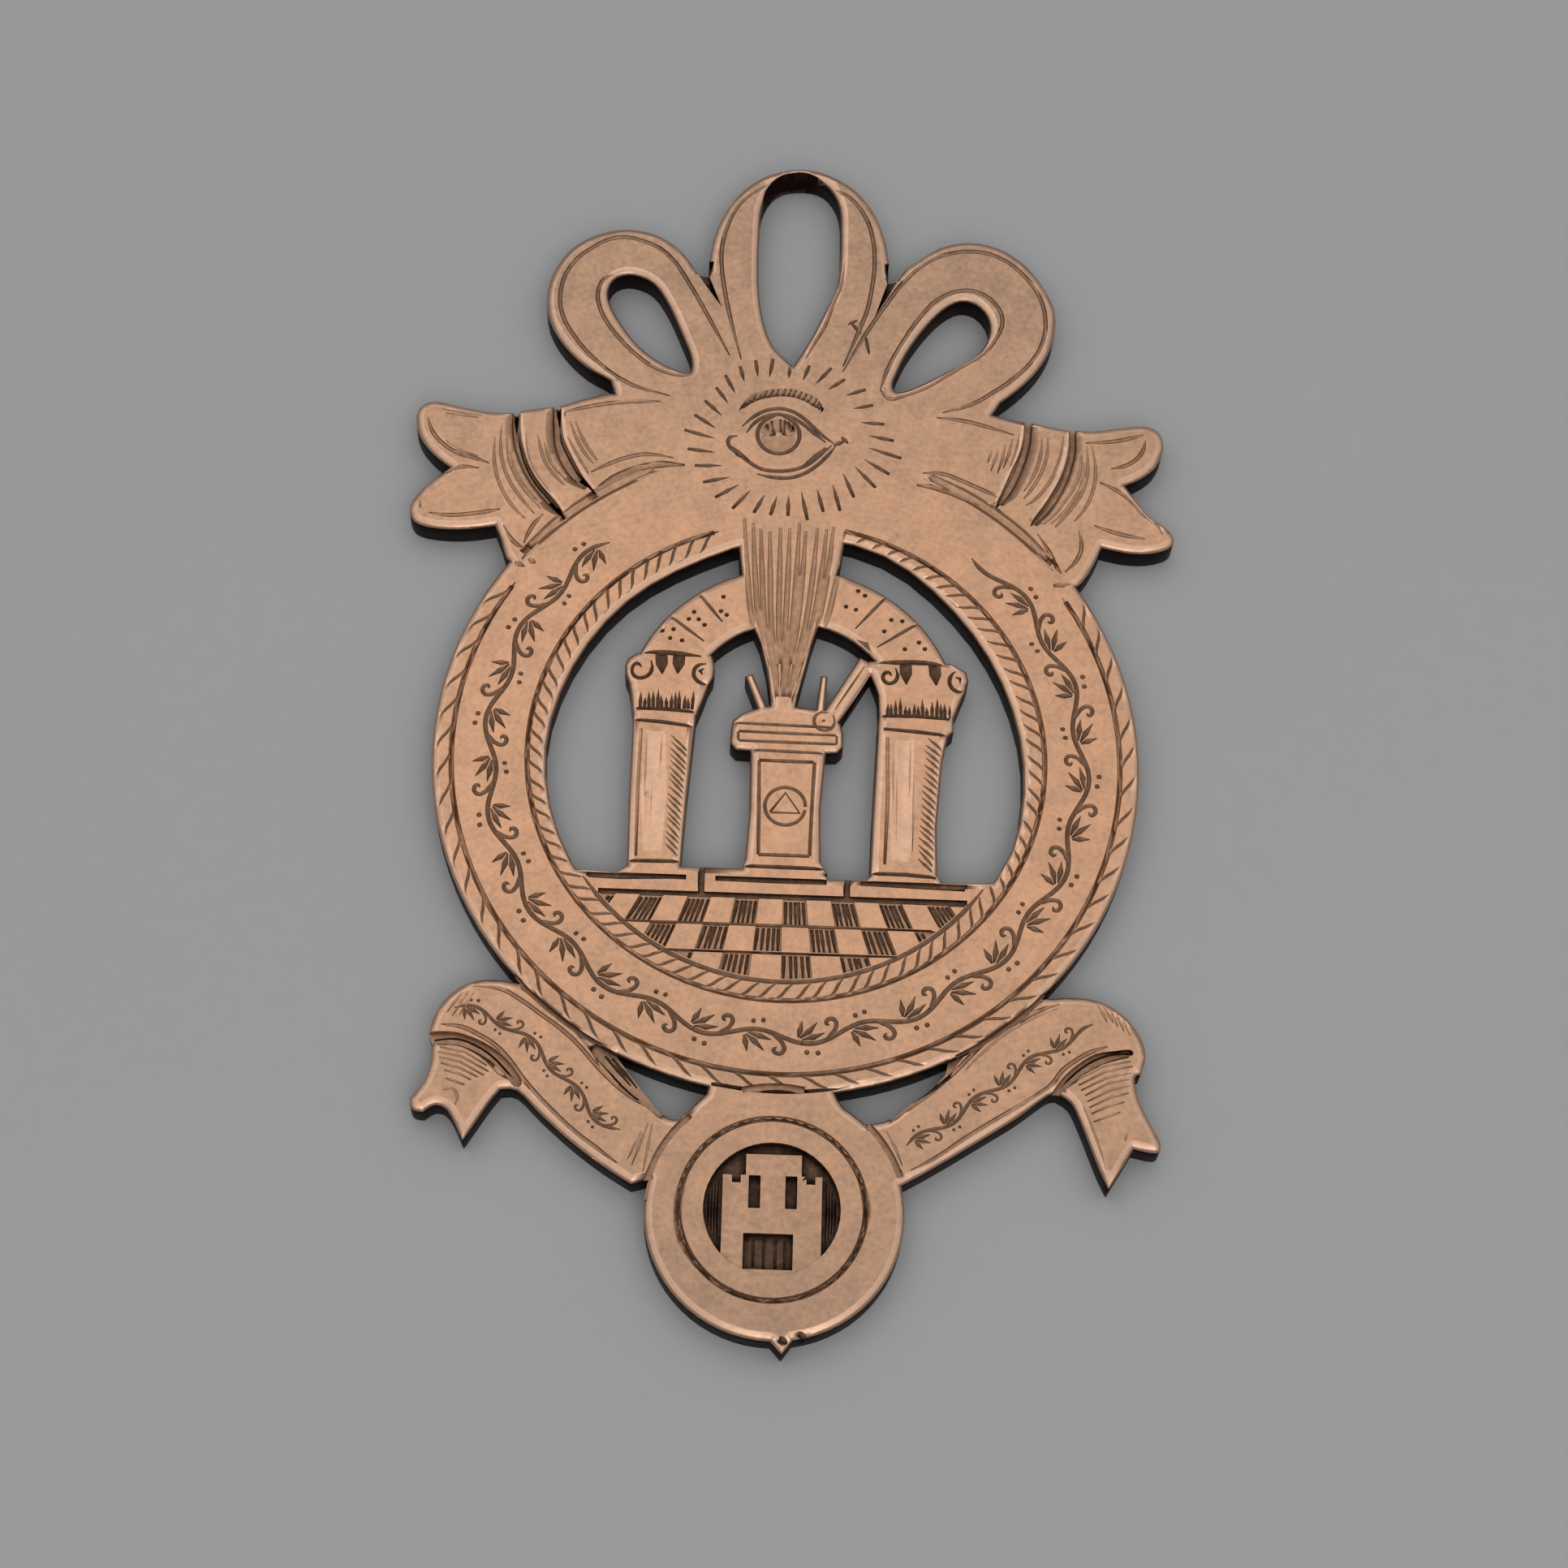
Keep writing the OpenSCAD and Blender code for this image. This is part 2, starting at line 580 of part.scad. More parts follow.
module jewel_plate() {
    color("peru") translate([0, -mid_y, 0]) difference() {
        union() {
            difference() {
                union() {
                    bow();
                    ribbon();
                    scrolls();
                    roundel();
                }
                sawn() circle(scene_r);
                bow_openings();
            }
            ring();
            window_scene();
        }
        loop_wear();
        loop_webs();
        ring_lines();
        ring_overlaps();
        fold_valleys();
        roundel_relief();
        step_lines();
        pavement();
    }
}

jewel_plate();
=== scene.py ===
import json
import math
import random
import bpy
import numpy as np
from mathutils import Matrix, Vector
from mathutils.geometry import delaunay_2d_cdt

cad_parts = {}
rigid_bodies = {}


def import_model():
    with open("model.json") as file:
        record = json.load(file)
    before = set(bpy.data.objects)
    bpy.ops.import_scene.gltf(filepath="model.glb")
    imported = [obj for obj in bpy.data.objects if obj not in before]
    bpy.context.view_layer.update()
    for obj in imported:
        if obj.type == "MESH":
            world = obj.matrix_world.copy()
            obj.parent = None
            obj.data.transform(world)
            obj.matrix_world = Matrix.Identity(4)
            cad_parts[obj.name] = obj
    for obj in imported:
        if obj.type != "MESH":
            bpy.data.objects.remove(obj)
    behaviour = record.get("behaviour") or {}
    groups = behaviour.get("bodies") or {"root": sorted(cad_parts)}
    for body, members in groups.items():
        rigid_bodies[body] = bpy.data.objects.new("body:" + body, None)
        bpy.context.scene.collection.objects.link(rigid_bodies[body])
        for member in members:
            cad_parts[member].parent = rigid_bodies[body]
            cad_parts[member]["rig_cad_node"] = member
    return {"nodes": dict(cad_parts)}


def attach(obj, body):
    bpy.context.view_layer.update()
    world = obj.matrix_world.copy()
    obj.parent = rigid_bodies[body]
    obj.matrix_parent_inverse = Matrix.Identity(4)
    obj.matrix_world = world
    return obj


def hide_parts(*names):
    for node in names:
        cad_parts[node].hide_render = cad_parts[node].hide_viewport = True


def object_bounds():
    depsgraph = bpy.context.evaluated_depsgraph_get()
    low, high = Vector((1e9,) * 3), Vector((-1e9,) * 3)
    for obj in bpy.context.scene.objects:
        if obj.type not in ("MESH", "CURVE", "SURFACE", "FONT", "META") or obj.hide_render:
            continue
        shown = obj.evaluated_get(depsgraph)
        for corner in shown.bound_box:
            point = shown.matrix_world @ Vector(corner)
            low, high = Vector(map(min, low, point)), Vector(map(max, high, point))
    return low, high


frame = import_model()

cadLow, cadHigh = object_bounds()
random.seed(11)
mm = 0.001

# Everything below is drawn in millimetres from the middle of the ring, on the face
plate = {
    "node": "jewel_plate",
    "loopTop": 34.05,  # height of the middle loop above the ring's middle
    "step": 0.65,  # walls lower than this are steps in the face
    "turn": 0.5,  # steps deeper than this get a dark line of painted shade
    "worn": 32.5,  # above this height slopes are wear, below it they are grooves
    "slope": 0.05,  # slopes deeper than this are grooves
    "upright": 0.5,  # a wall's normal rises less than this, and a floor's more than the next
    "level": 0.98,
    "merge": 0.0005,  # points nearer than this become one
    "flat": 0.5,  # degrees within which faces are one
    "smooth": 40,  # degrees up to which an edge is shaded round
}
faceZ = cadHigh.z / mm
ringY = cadHigh.y / mm - plate["loopTop"]

photoView = {
    "pixels": 1932,
    "focal": 4500,  # focal length in pixels of the photograph
    "scale": 24.8675,  # pixels to a millimetre at the ring's middle
    "elevation": 66.76,
    "turn": -3.05,
    "roll": 4.84,
    "ringAt": (969.1, 931.3),  # pixel of the ring's middle
    "sensor": 36.0,
}


def makeCamera(view):
    distance = view["focal"] / view["scale"] * mm
    bpy.ops.object.camera_add()
    camera = bpy.context.object
    camera.name = "photo_camera"
    aim = (Matrix.Rotation(math.radians(view["turn"]), 4, "Z")
           @ Matrix.Rotation(math.radians(90 - view["elevation"]), 4, "X"))
    target = Matrix.Translation((0, ringY * mm, cadHigh.z))
    camera.matrix_world = (target @ aim @ Matrix.Translation((0, 0, distance))
                           @ Matrix.Rotation(math.radians(view["roll"]), 4, "Z"))
    lens = camera.data
    lens.sensor_width = view["sensor"]
    lens.lens = view["focal"] * view["sensor"] / view["pixels"]
    lens.shift_x = 0.5 - view["ringAt"][0] / view["pixels"]
    lens.shift_y = view["ringAt"][1] / view["pixels"] - 0.5
    lens.clip_start = 0.01
    bpy.context.scene.camera = camera


class Wire:
    # A socket of a node tree. Sums on wires add Math nodes, and node() adds any other node.
    def __init__(self, tree, socket=None):
        self.tree = tree
        self.socket = socket

    def node(self, kind, settings, inputs, out=0):
        made = self.tree.nodes.new(kind)
        for name, value in settings.items():
            if name == "stops":
                ramp = made.color_ramp.elements
                for i, (place, shade) in enumerate(value):
                    stop = ramp[i] if i < 2 else ramp.new(place)
                    stop.position = place
                    stop.color = (shade, shade, shade, 1)
            else:
                setattr(made, name, value)
        for name, value in inputs.items():
            if isinstance(value, Wire):
                self.tree.links.new(value.socket, made.inputs[name])
            else:
                made.inputs[name].default_value = value
        return Wire(self.tree, made.outputs[out] if made.outputs else None)

    def math(self, operation, first, second=0.0, clamp=False):
        return self.node("ShaderNodeMath", {"operation": operation, "use_clamp": clamp},
                         {0: first, 1: second})

    def __add__(self, other):
        return self.math("ADD", self, other)

    def __radd__(self, other):
        return self.math("ADD", other, self)

    def __sub__(self, other):
        return self.math("SUBTRACT", self, other)

    def __rsub__(self, other):
        return self.math("SUBTRACT", other, self)

    def __mul__(self, other):
        return self.math("MULTIPLY", self, other)

    def __rmul__(self, other):
        return self.math("MULTIPLY", other, self)

    def __truediv__(self, other):
        return self.math("DIVIDE", self, other)

    def clamped(self):
        return self.math("ADD", self, 0.0, clamp=True)

    def blend(self, share, first, second):
        # share is the part of the second colour; 6, 7 and the output 2 are the colour sockets
        return self.node("ShaderNodeMix", {"data_type": "RGBA"}, {0: share, 6: first, 7: second}, 2)


def newMaterial(name):
    material = bpy.data.materials.new(name)
    material.use_nodes = True
    material.node_tree.nodes.clear()
    return material, Wire(material.node_tree)


def closeMaterial(wire, inputs):
    surface = wire.node("ShaderNodeBsdfPrincipled", {}, inputs)
    wire.node("ShaderNodeOutputMaterial", {}, {"Surface": surface})


copper = {
    "clean": (0.614, 0.340, 0.203, 1),
    "tarnishAndShade": (0.36, 0.233, 0.159, 1),
    # worn metal, lighter and paler; on the rims and the column shine it is also a painted highlight
    "worn": (0.85, 0.55, 0.39, 1),
    "dirt": (0.013, 0.005, 0.003, 1),
    "lightPoolMiddle": (0.2, 0.0),  # middle of a painted pool of light where the metal is kept clean
    "lightPoolReach": (9.5, 27.0),  # millimetres up and down where the tarnish and the painted falloff from the pool of light start and are whole
    "lightPoolWide": 0.35,  # the painted pool of light is wider than it is high by the inverse of this
    "blotchRange": (0.36, 0.68),
    # patterns: number to a millimetre, detail and roughness, and how scratches are drawn out and turned
    "blotch": (0.85, 5, 0.65),
    "grain": (3.5, 3, 0.6),
    "wave": (0.2, 2),
    "scratches": (0.9, 3, 0.5, (0.6, 14, 1), 35),
    "crossScratches": (0.8, 3, 0.5, (0.5, 11, 1), -62),
    "crevice": 0.45,  # reach of the search for closed corners, in millimetres
    "dirtDepth": 0.45,  # millimetres below the face at which a hollow is wholly darkened, dirt with painted shade
    # what adds up to the tarnish with the painted falloff from the lit middle, the dirt with painted shade,
    # the roughness and the height of the bumps
    "tarnishBase": 0.07,
    "tarnishAndShadeShares": {"blotch": 0.28, "away": 0.60, "grain": 0.95},
    "dirtShares": {"closed": 0.42, "low": 0.22, "grain": 0.22},
    "roughness": 0.36,
    "roughShares": {"blotch": 0.10, "grain": 0.12, "dirt": 0.25},
    "bumpShares": {"grain": 0.45, "scratch": 0.35, "cross": 0.3, "wave": 0.8},
    "bumpStrength": 0.35,
    "bumpHeight": 0.03,
    "dulled": 0.1,  # how much less of a metal the dirt and painted shade are
}

# How each part of the plate is finished and shaded: worn adds bright metal, partly a painted highlight, and
# dirt darkens, partly painted shade
finishesAndShades = {
    "face": {"worn": 0.0, "dirt": 0.0},
    # rounded rims: wear with a painted highlight
    "lip": {"worn": 0.55, "dirt": 0.0},
    # a painted highlight, for the shine down the columns
    "rubbed": {"worn": 0.4, "dirt": 0.0},
    # sawn walls: tarnish with painted shade, nearly black
    "wall": {"worn": 0.0, "dirt": 0.97},
    "sunk": {"worn": 0.0, "dirt": 0.06},
    "fine": {"worn": 0.0, "dirt": 0.19},
    "graved": {"worn": 0.0, "dirt": 0.55},
    "deep": {"worn": 0.0, "dirt": 0.72},
}


def copperMaterial(name, finishAndShade):
    material, wire = newMaterial(name)
    spot = wire.node("ShaderNodeTexCoord", {}, {}, "Object")
    spot = wire.node("ShaderNodeMapping", {}, {"Vector": spot, "Scale": (1 / mm, 1 / mm, 1 / mm)})
    height = wire.node("ShaderNodeSeparateXYZ", {}, {"Vector": spot}, "Z")

    def noise(scale, detail, rough=0.5, stretch=None, turn=0):
        place = spot
        if stretch:
            turned = {"Vector": spot, "Rotation": (0, 0, math.radians(turn)), "Scale": stretch}
            place = wire.node("ShaderNodeMapping", {}, turned)
        return wire.node("ShaderNodeTexNoise", {},
                         {"Vector": place, "Scale": scale, "Detail": detail, "Roughness": rough})

    def total(base, shares, **parts):
        return sum((shares[name] * part for name, part in parts.items()), base)

    low, high = copper["blotchRange"]
    blotch = noise(*copper["blotch"])
    blotch = wire.node("ShaderNodeValToRGB", {"stops": [(low, 0), (high, 1)]}, {0: blotch})
    grain = noise(*copper["grain"])
    closed = wire.node("ShaderNodeAmbientOcclusion", {"samples": 4},
                       {"Distance": copper["crevice"] * mm}, "AO")
    # a painted pool of light round the middle of the plate: the colour turns to tarnish further away
    wide = wire.node("ShaderNodeMapping", {}, {"Vector": spot, "Scale": (copper["lightPoolWide"], 1, 1)})
    x, y = copper["lightPoolMiddle"]
    away = wire.node("ShaderNodeVectorMath", {"operation": "DISTANCE"},
                     {0: wide, 1: (x, y + ringY, faceZ)}, "Value")
    near, far = copper["lightPoolReach"]

    # dirt with painted shade: darker in corners the occlusion search finds closed, and darker the deeper a
    # surface lies below the face
    dirt = total(finishAndShade["dirt"], copper["dirtShares"], closed=1.0 - closed,
                 low=((faceZ - height) / copper["dirtDepth"]).clamped(), grain=grain - 0.5).clamped()
    tarnishAndShade = total(copper["tarnishBase"], copper["tarnishAndShadeShares"], blotch=blotch,
                    away=((away - near) / (far - near)).clamped(), grain=grain - 0.5).clamped()
    colour = wire.blend(tarnishAndShade, copper["clean"], copper["tarnishAndShade"])
    colour = wire.blend(finishAndShade["worn"], colour, copper["worn"])
    colour = wire.blend(dirt, colour, copper["dirt"])
    rough = total(copper["roughness"], copper["roughShares"], blotch=blotch - 0.5, grain=grain - 0.5,
                  dirt=dirt)
    bumps = total(0.0, copper["bumpShares"], grain=grain, scratch=noise(*copper["scratches"]),
                  cross=noise(*copper["crossScratches"]), wave=noise(*copper["wave"]))
    normal = wire.node("ShaderNodeBump", {}, {"Strength": copper["bumpStrength"],
                                              "Distance": copper["bumpHeight"] * mm, "Height": bumps})
    closeMaterial(wire, {"Base Color": colour, "Metallic": 1.0 - copper["dulled"] * dirt,
                         "Roughness": rough, "Normal": normal})
    return material


def selectOnly(thing):
    bpy.ops.object.select_all(action="DESELECT")
    thing.select_set(True)
    bpy.context.view_layer.objects.active = thing


def copyPlate():
    selectOnly(frame["nodes"][plate["node"]])
    bpy.ops.object.duplicate()
    jewel = bpy.context.object
    jewel.name = "engraved_jewel"
    jewel.parent = None
    del jewel["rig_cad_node"]
    jewel.data.materials.clear()
    for name in finishesAndShades:
        jewel.data.materials.append(materials[name])
    jewel.scale = (1 / mm, 1 / mm, 1 / mm)
    jewel.location = (0, -ringY, 0)
    bpy.ops.object.transform_apply(location=True, rotation=False, scale=True)
    bpy.ops.object.mode_set(mode="EDIT")
    bpy.ops.mesh.select_all(action="SELECT")
    bpy.ops.mesh.remove_doubles(threshold=plate["merge"])
    bpy.ops.mesh.dissolve_degenerate(threshold=plate["merge"])
    bpy.ops.mesh.dissolve_limited(angle_limit=math.radians(plate["flat"]))
    bpy.ops.mesh.select_all(action="DESELECT")
    bpy.ops.object.mode_set(mode="OBJECT")
    return jewel


# Depth of each cut floor below the face, and its finish, whose darkening is dirt with painted shade
floors = [(0.12, "face"), (0.18, "fine"), (0.22, "graved"), (0.45, "sunk"), (0.55, "graved"),
          (0.7, "sunk"), (1.0, "graved")]


def markCuts(jewel):
    # sawn walls are nearly black, tarnish with painted shade, and the floors and walls of shallow cuts are
    # darkened by their depth, dirt with painted shade
    names = list(finishesAndShades)
    for face in jewel.data.polygons:
        heights = [jewel.data.vertices[v].co.z for v in face.vertices]
        deepest, span = faceZ - min(heights), max(heights) - min(heights)
        upright = abs(face.normal.z) < plate["upright"]
        finishAndShade = "face"
        if upright and span > plate["step"]:
            finishAndShade = "wall"
        elif upright and deepest > plate["turn"]:
            finishAndShade = "graved"
        elif upright or face.normal.z > plate["level"]:
            finishAndShade = next((name for depth, name in floors if deepest < depth), "face")
        elif face.normal.z > 0 and deepest > plate["slope"] and face.center.y < plate["worn"]:
            finishAndShade = "fine"
        face.material_index = names.index(finishAndShade)


rim = {
    # distance in from the sawn outline, and how far the worn surface lies below the face there
    "face": [(-0.10, 0.44), (0, 0.20), (0.05, 0.11), (0.13, 0.06), (0.28, 0.018), (0.44, -0.01)],
    "back": [(-0.10, 0.25), (0, 0.10), (0.10, -0.01)],
    "fine": 0.04,  # spacing of the points that find where two insets meet
    "bend": 15,  # degrees between points round a corner
    "join": 3,  # ends of an inset nearer than this many distances are joined
    "slack": 0.002,  # an inset's points may be this much too near
    "snap": 0.003,  # points nearer than this lie on the outline
    "margin": 3,  # the mould reaches this far past the plate
}


def outlinesOf(mesh):
    # the sawn outlines seen from above, each with the metal on its left
    owners = {}
    for face in mesh.polygons:
        for key in face.edge_keys:
            owners.setdefault(key, []).append(face)
    follow = {}
    for face in mesh.polygons:
        # the back is the lowest level face
        if face.normal.z < -0.99 and face.center.z < 0.01:
            around = list(face.vertices)
            for a, b in zip(around, around[1:] + around[:1]):
                if any(abs(other.normal.z) < 0.99 for other in owners[(min(a, b), max(a, b))]):
                    follow[b] = a
    loops = []
    while follow:
        at, after = follow.popitem()
        loop = [at]
        while after != loop[0]:
            loop.append(after)
            after = follow.pop(after)
        loops.append(np.array([mesh.vertices[v].co[:2] for v in loop]))
    return loops


def reachOf(points, loops):
    # distance of each point to the outlines, less than nothing outside the metal
    nearest = np.full(len(points), 1e9)
    inside = np.zeros(len(points), bool)
    px, py = points.T
    for loop in loops:
        for a, b in zip(loop, np.roll(loop, -1, 0)):
            way = b - a
            t = np.clip(((points - a) @ way) / (way @ way), 0, 1)
            nearest = np.minimum(nearest, np.hypot(px - a[0] - t * way[0], py - a[1] - t * way[1]))
            if a[1] != b[1]:
                crosses = (py > a[1]) != (py > b[1])
                inside ^= crosses & (px < a[0] + (py - a[1]) * way[0] / way[1])
    return np.where(inside, nearest, -nearest)


def leftOf(turn):
    return np.array([-math.sin(turn), math.cos(turn)])


def insetOf(loop, loops, distance):
    # points at a distance from the outline, and the pairs of them that a line joins
    side = 1 if distance > 0 else -1
    ways = np.roll(loop, -1, 0) - loop
    turns = np.unwrap(np.arctan2(ways[:, 1], ways[:, 0]))
    points, runs = [], []
    for i, (start, way) in enumerate(zip(loop, ways)):
        bend = (turns[i] - turns[i - 1] + math.pi) % (2 * math.pi) - math.pi
        if side * bend < 0:
            count = math.ceil(abs(math.degrees(bend)) / rim["bend"]) + 1
            for share in np.linspace(0, 1, count)[1:-1]:
                points.append(start + distance * leftOf(turns[i] - bend * (1 - share)))
                runs.append(-len(points))
        left = leftOf(turns[i])
        count = max(2, math.ceil(np.hypot(*way) / rim["fine"]) + 1)
        for share in np.linspace(0, 1, count):
            points.append(start + share * way + distance * left)
            runs.append(i)
    points = np.array(points)
    kept = np.where(side * reachOf(points, loops) > abs(distance) - rim["slack"])[0]
    ends = []
    for n, i in enumerate(kept):
        joined = kept[n - 1] == i - 1 and kept[(n + 1) % len(kept)] == i + 1
        if not (joined and runs[i - 1] == runs[i] == runs[i + 1]):
            ends.append(i)
    pairs = []
    for n, i in enumerate(ends):
        after = ends[(n + 1) % len(ends)]
        gap = np.hypot(*(points[i] - points[after]))
        if runs[i] == runs[after] or gap < rim["join"] * abs(distance):
            pairs.append((n, (n + 1) % len(ends)))
    return points[ends], pairs


def wornSurface(loops, profile, low, high):
    # a sheet over the whole plate that bends down along every outline
    points, pairs = [np.array([low, (high[0], low[1]), high, (low[0], high[1])])], []
    for distance, drop in profile:
        for loop in loops:
            count = sum(map(len, points))
            if distance == 0:
                found, joined = loop, [(i, (i + 1) % len(loop)) for i in range(len(loop))]
            else:
                found, joined = insetOf(loop, loops, distance)
            points.append(found)
            pairs += [(count + a, count + b) for a, b in joined]
    made = delaunay_2d_cdt([Vector(point) for point in np.concatenate(points)], pairs, [], 0, 1e-5)
    flat = np.array([tuple(point) for point in made[0]])
    reach = reachOf(flat, loops)
    reach[np.abs(reach) < rim["snap"]] = 0
    distances, drops = zip(*profile)
    return flat, np.interp(reach, distances, drops), [tuple(face) for face in made[2]]


def roundRims(jewel):
    # a mould whose two sheets bend down to the outlines keeps what lies between them
    loops = outlinesOf(jewel.data)
    every = np.concatenate(loops)
    low, high = every.min(0) - rim["margin"], every.max(0) + rim["margin"]
    top, topDrop, topFaces = wornSurface(loops, rim["face"], low, high)
    under, underDrop, underFaces = wornSurface(loops, rim["back"], low, high)
    points = [(x, y, faceZ - drop) for (x, y), drop in zip(top, topDrop)]
    points += [(x, y, drop) for (x, y), drop in zip(under, underDrop)]
    faces = topFaces + [tuple(len(top) + v for v in reversed(face)) for face in underFaces]
    mesh = bpy.data.meshes.new("mould")
    mesh.from_pydata(points, [], faces)
    mould = bpy.data.objects.new("mould", mesh)
    bpy.context.scene.collection.objects.link(mould)
    selectOnly(mould)
    bpy.ops.object.mode_set(mode="EDIT")
    bpy.ops.mesh.select_all(action="DESELECT")
    bpy.ops.mesh.select_mode(type="EDGE")
    bpy.ops.mesh.select_non_manifold()
    bpy.ops.mesh.bridge_edge_loops()
    bpy.ops.mesh.select_all(action="SELECT")
    bpy.ops.mesh.normals_make_consistent(inside=False)
    bpy.ops.object.mode_set(mode="OBJECT")
    # the rounded rims take the lip colour: wear with a painted highlight
    cutAway(jewel, mould, "lip", "INTERSECT")


graver = {
    "spacing": 0.1,  # of the points that find which strokes touch
    "gap": 1.1,  # strokes nearer than this many widths are cut one after the other
    "points": 3,  # points from one point of a smooth stroke to the next
    "merge": 0.0001,
}


def runOf(stroke):
    # evenly spaced points along a stroke
    points = np.array(stroke, float)
    parts = [points[:1]]
    for a, b in zip(points[:-1], points[1:]):
        count = max(1, math.ceil(np.hypot(*(b - a)) / graver["spacing"]))
        parts.append(a + (b - a) * np.linspace(1 / count, 1, count)[:, None])
    return np.concatenate(parts)


def layersOf(strokes, gap):
    # strokes that touch are cut one after the other, so each cutter is clean
    layers = []
    for stroke in strokes:
        run = runOf(stroke)
        low, high = run.min(0) - gap, run.max(0) + gap
        for layer in layers:
            near = [r for _, r, l, h in layer if (low < h).all() and (high > l).all()]
            if not any((np.hypot(*(run[:, None] - r[None]).T) < gap).any() for r in near):
                layer.append((stroke, run, low, high))
                break
        else:
            layers.append([(stroke, run, low, high)])
    return [[item[0] for item in layer] for layer in layers]


def cutterOf(strokes, width, depth, ends, level, smooth):
    # a bar along each stroke, pointed below and above, that tapers to its ends
    curve = bpy.data.curves.new("graver", "CURVE")
    curve.dimensions = "3D"
    curve.twist_mode = "Z_UP"
    curve.bevel_depth = width / 2
    curve.bevel_resolution = 0
    curve.use_fill_caps = True
    for stroke in strokes:
        if len(stroke) == 2:
            (ax, ay), (bx, by) = stroke
            stroke = [(ax, ay), (ax + 0.5 * (bx - ax), ay + 0.5 * (by - ay)), (bx, by)]
        radii = [ends[0]] + [1.0] * (len(stroke) - 2) + [ends[1]]
        curved = smooth and len(stroke) > 3
        spline = curve.splines.new("BEZIER" if curved else "POLY")
        points = spline.bezier_points if curved else spline.points
        points.add(len(stroke) - 1)
        for point, (x, y), radius in zip(points, stroke, radii):
            point.co = (x, y, 0) if curved else (x, y, 0, 1)
            point.radius = radius
            if curved:
                point.handle_left_type = point.handle_right_type = "AUTO"
        spline.resolution_u = graver["points"]
    cutter = bpy.data.objects.new("graver", curve)
    bpy.context.scene.collection.objects.link(cutter)
    selectOnly(cutter)
    bpy.ops.object.convert(target="MESH")
    cutter = bpy.context.object
    bpy.ops.object.mode_set(mode="EDIT")
    bpy.ops.mesh.select_all(action="SELECT")
    bpy.ops.mesh.remove_doubles(threshold=graver["merge"])
    bpy.ops.mesh.normals_make_consistent(inside=False)
    bpy.ops.object.mode_set(mode="OBJECT")
    cutter.scale = (1, 1, 2 * depth / width)
    cutter.location = (0, 0, faceZ - level)
    bpy.ops.object.transform_apply(location=True, rotation=False, scale=True)
    return cutter


def cutAway(jewel, cutter, finishAndShade, operation):
    cutter.data.materials.clear()
    cutter.data.materials.append(materials[finishAndShade])
    selectOnly(jewel)
    cut = jewel.modifiers.new("cut", "BOOLEAN")
    cut.operation = operation
    cut.solver = "MANIFOLD"
    cut.material_mode = "TRANSFER"
    cut.object = cutter
    bpy.ops.object.modifier_apply(modifier=cut.name)
    bpy.data.objects.remove(cutter)


def engrave(jewel, strokes, width, depth, ends=(0.3, 0.3), finishAndShade="graved", level=0.0, smooth=True,
            operation="DIFFERENCE"):
    # ends are shares of the width, and the level is measured down from the face
    for layer in layersOf(strokes, graver["gap"] * width):
        cutAway(jewel, cutterOf(layer, width, depth, ends, level, smooth), finishAndShade, operation)


def polar(radius, degrees):
    turn = math.radians(degrees)
    return (radius * math.cos(turn), radius * math.sin(turn))


def jitter(amount):
    return random.uniform(-amount, amount)


def arc(radius, start, end, middle=(0, 0), step=6):
    count = max(3, round(abs(end - start) / step) + 1)
    return [tuple(np.add(middle, polar(radius, start + (end - start) * i / (count - 1))))
            for i in range(count)]


def circle(radius, middle, step=6):
    # two halves whose ends overlap a little
    return [arc(radius, start, end, middle, step) for start, end in ((0, 183), (179, 363))]


def rowOf(count, start, end, spread):
    # the same number of short strokes from the first one to the last one
    strokes = []
    for i in range(count):
        share = i / (count - 1)
        strokes.append([tuple(a + (b - a) * share + jitter(spread) for a, b in zip(p, q))
                        for p, q in zip(start, end)])
    return strokes
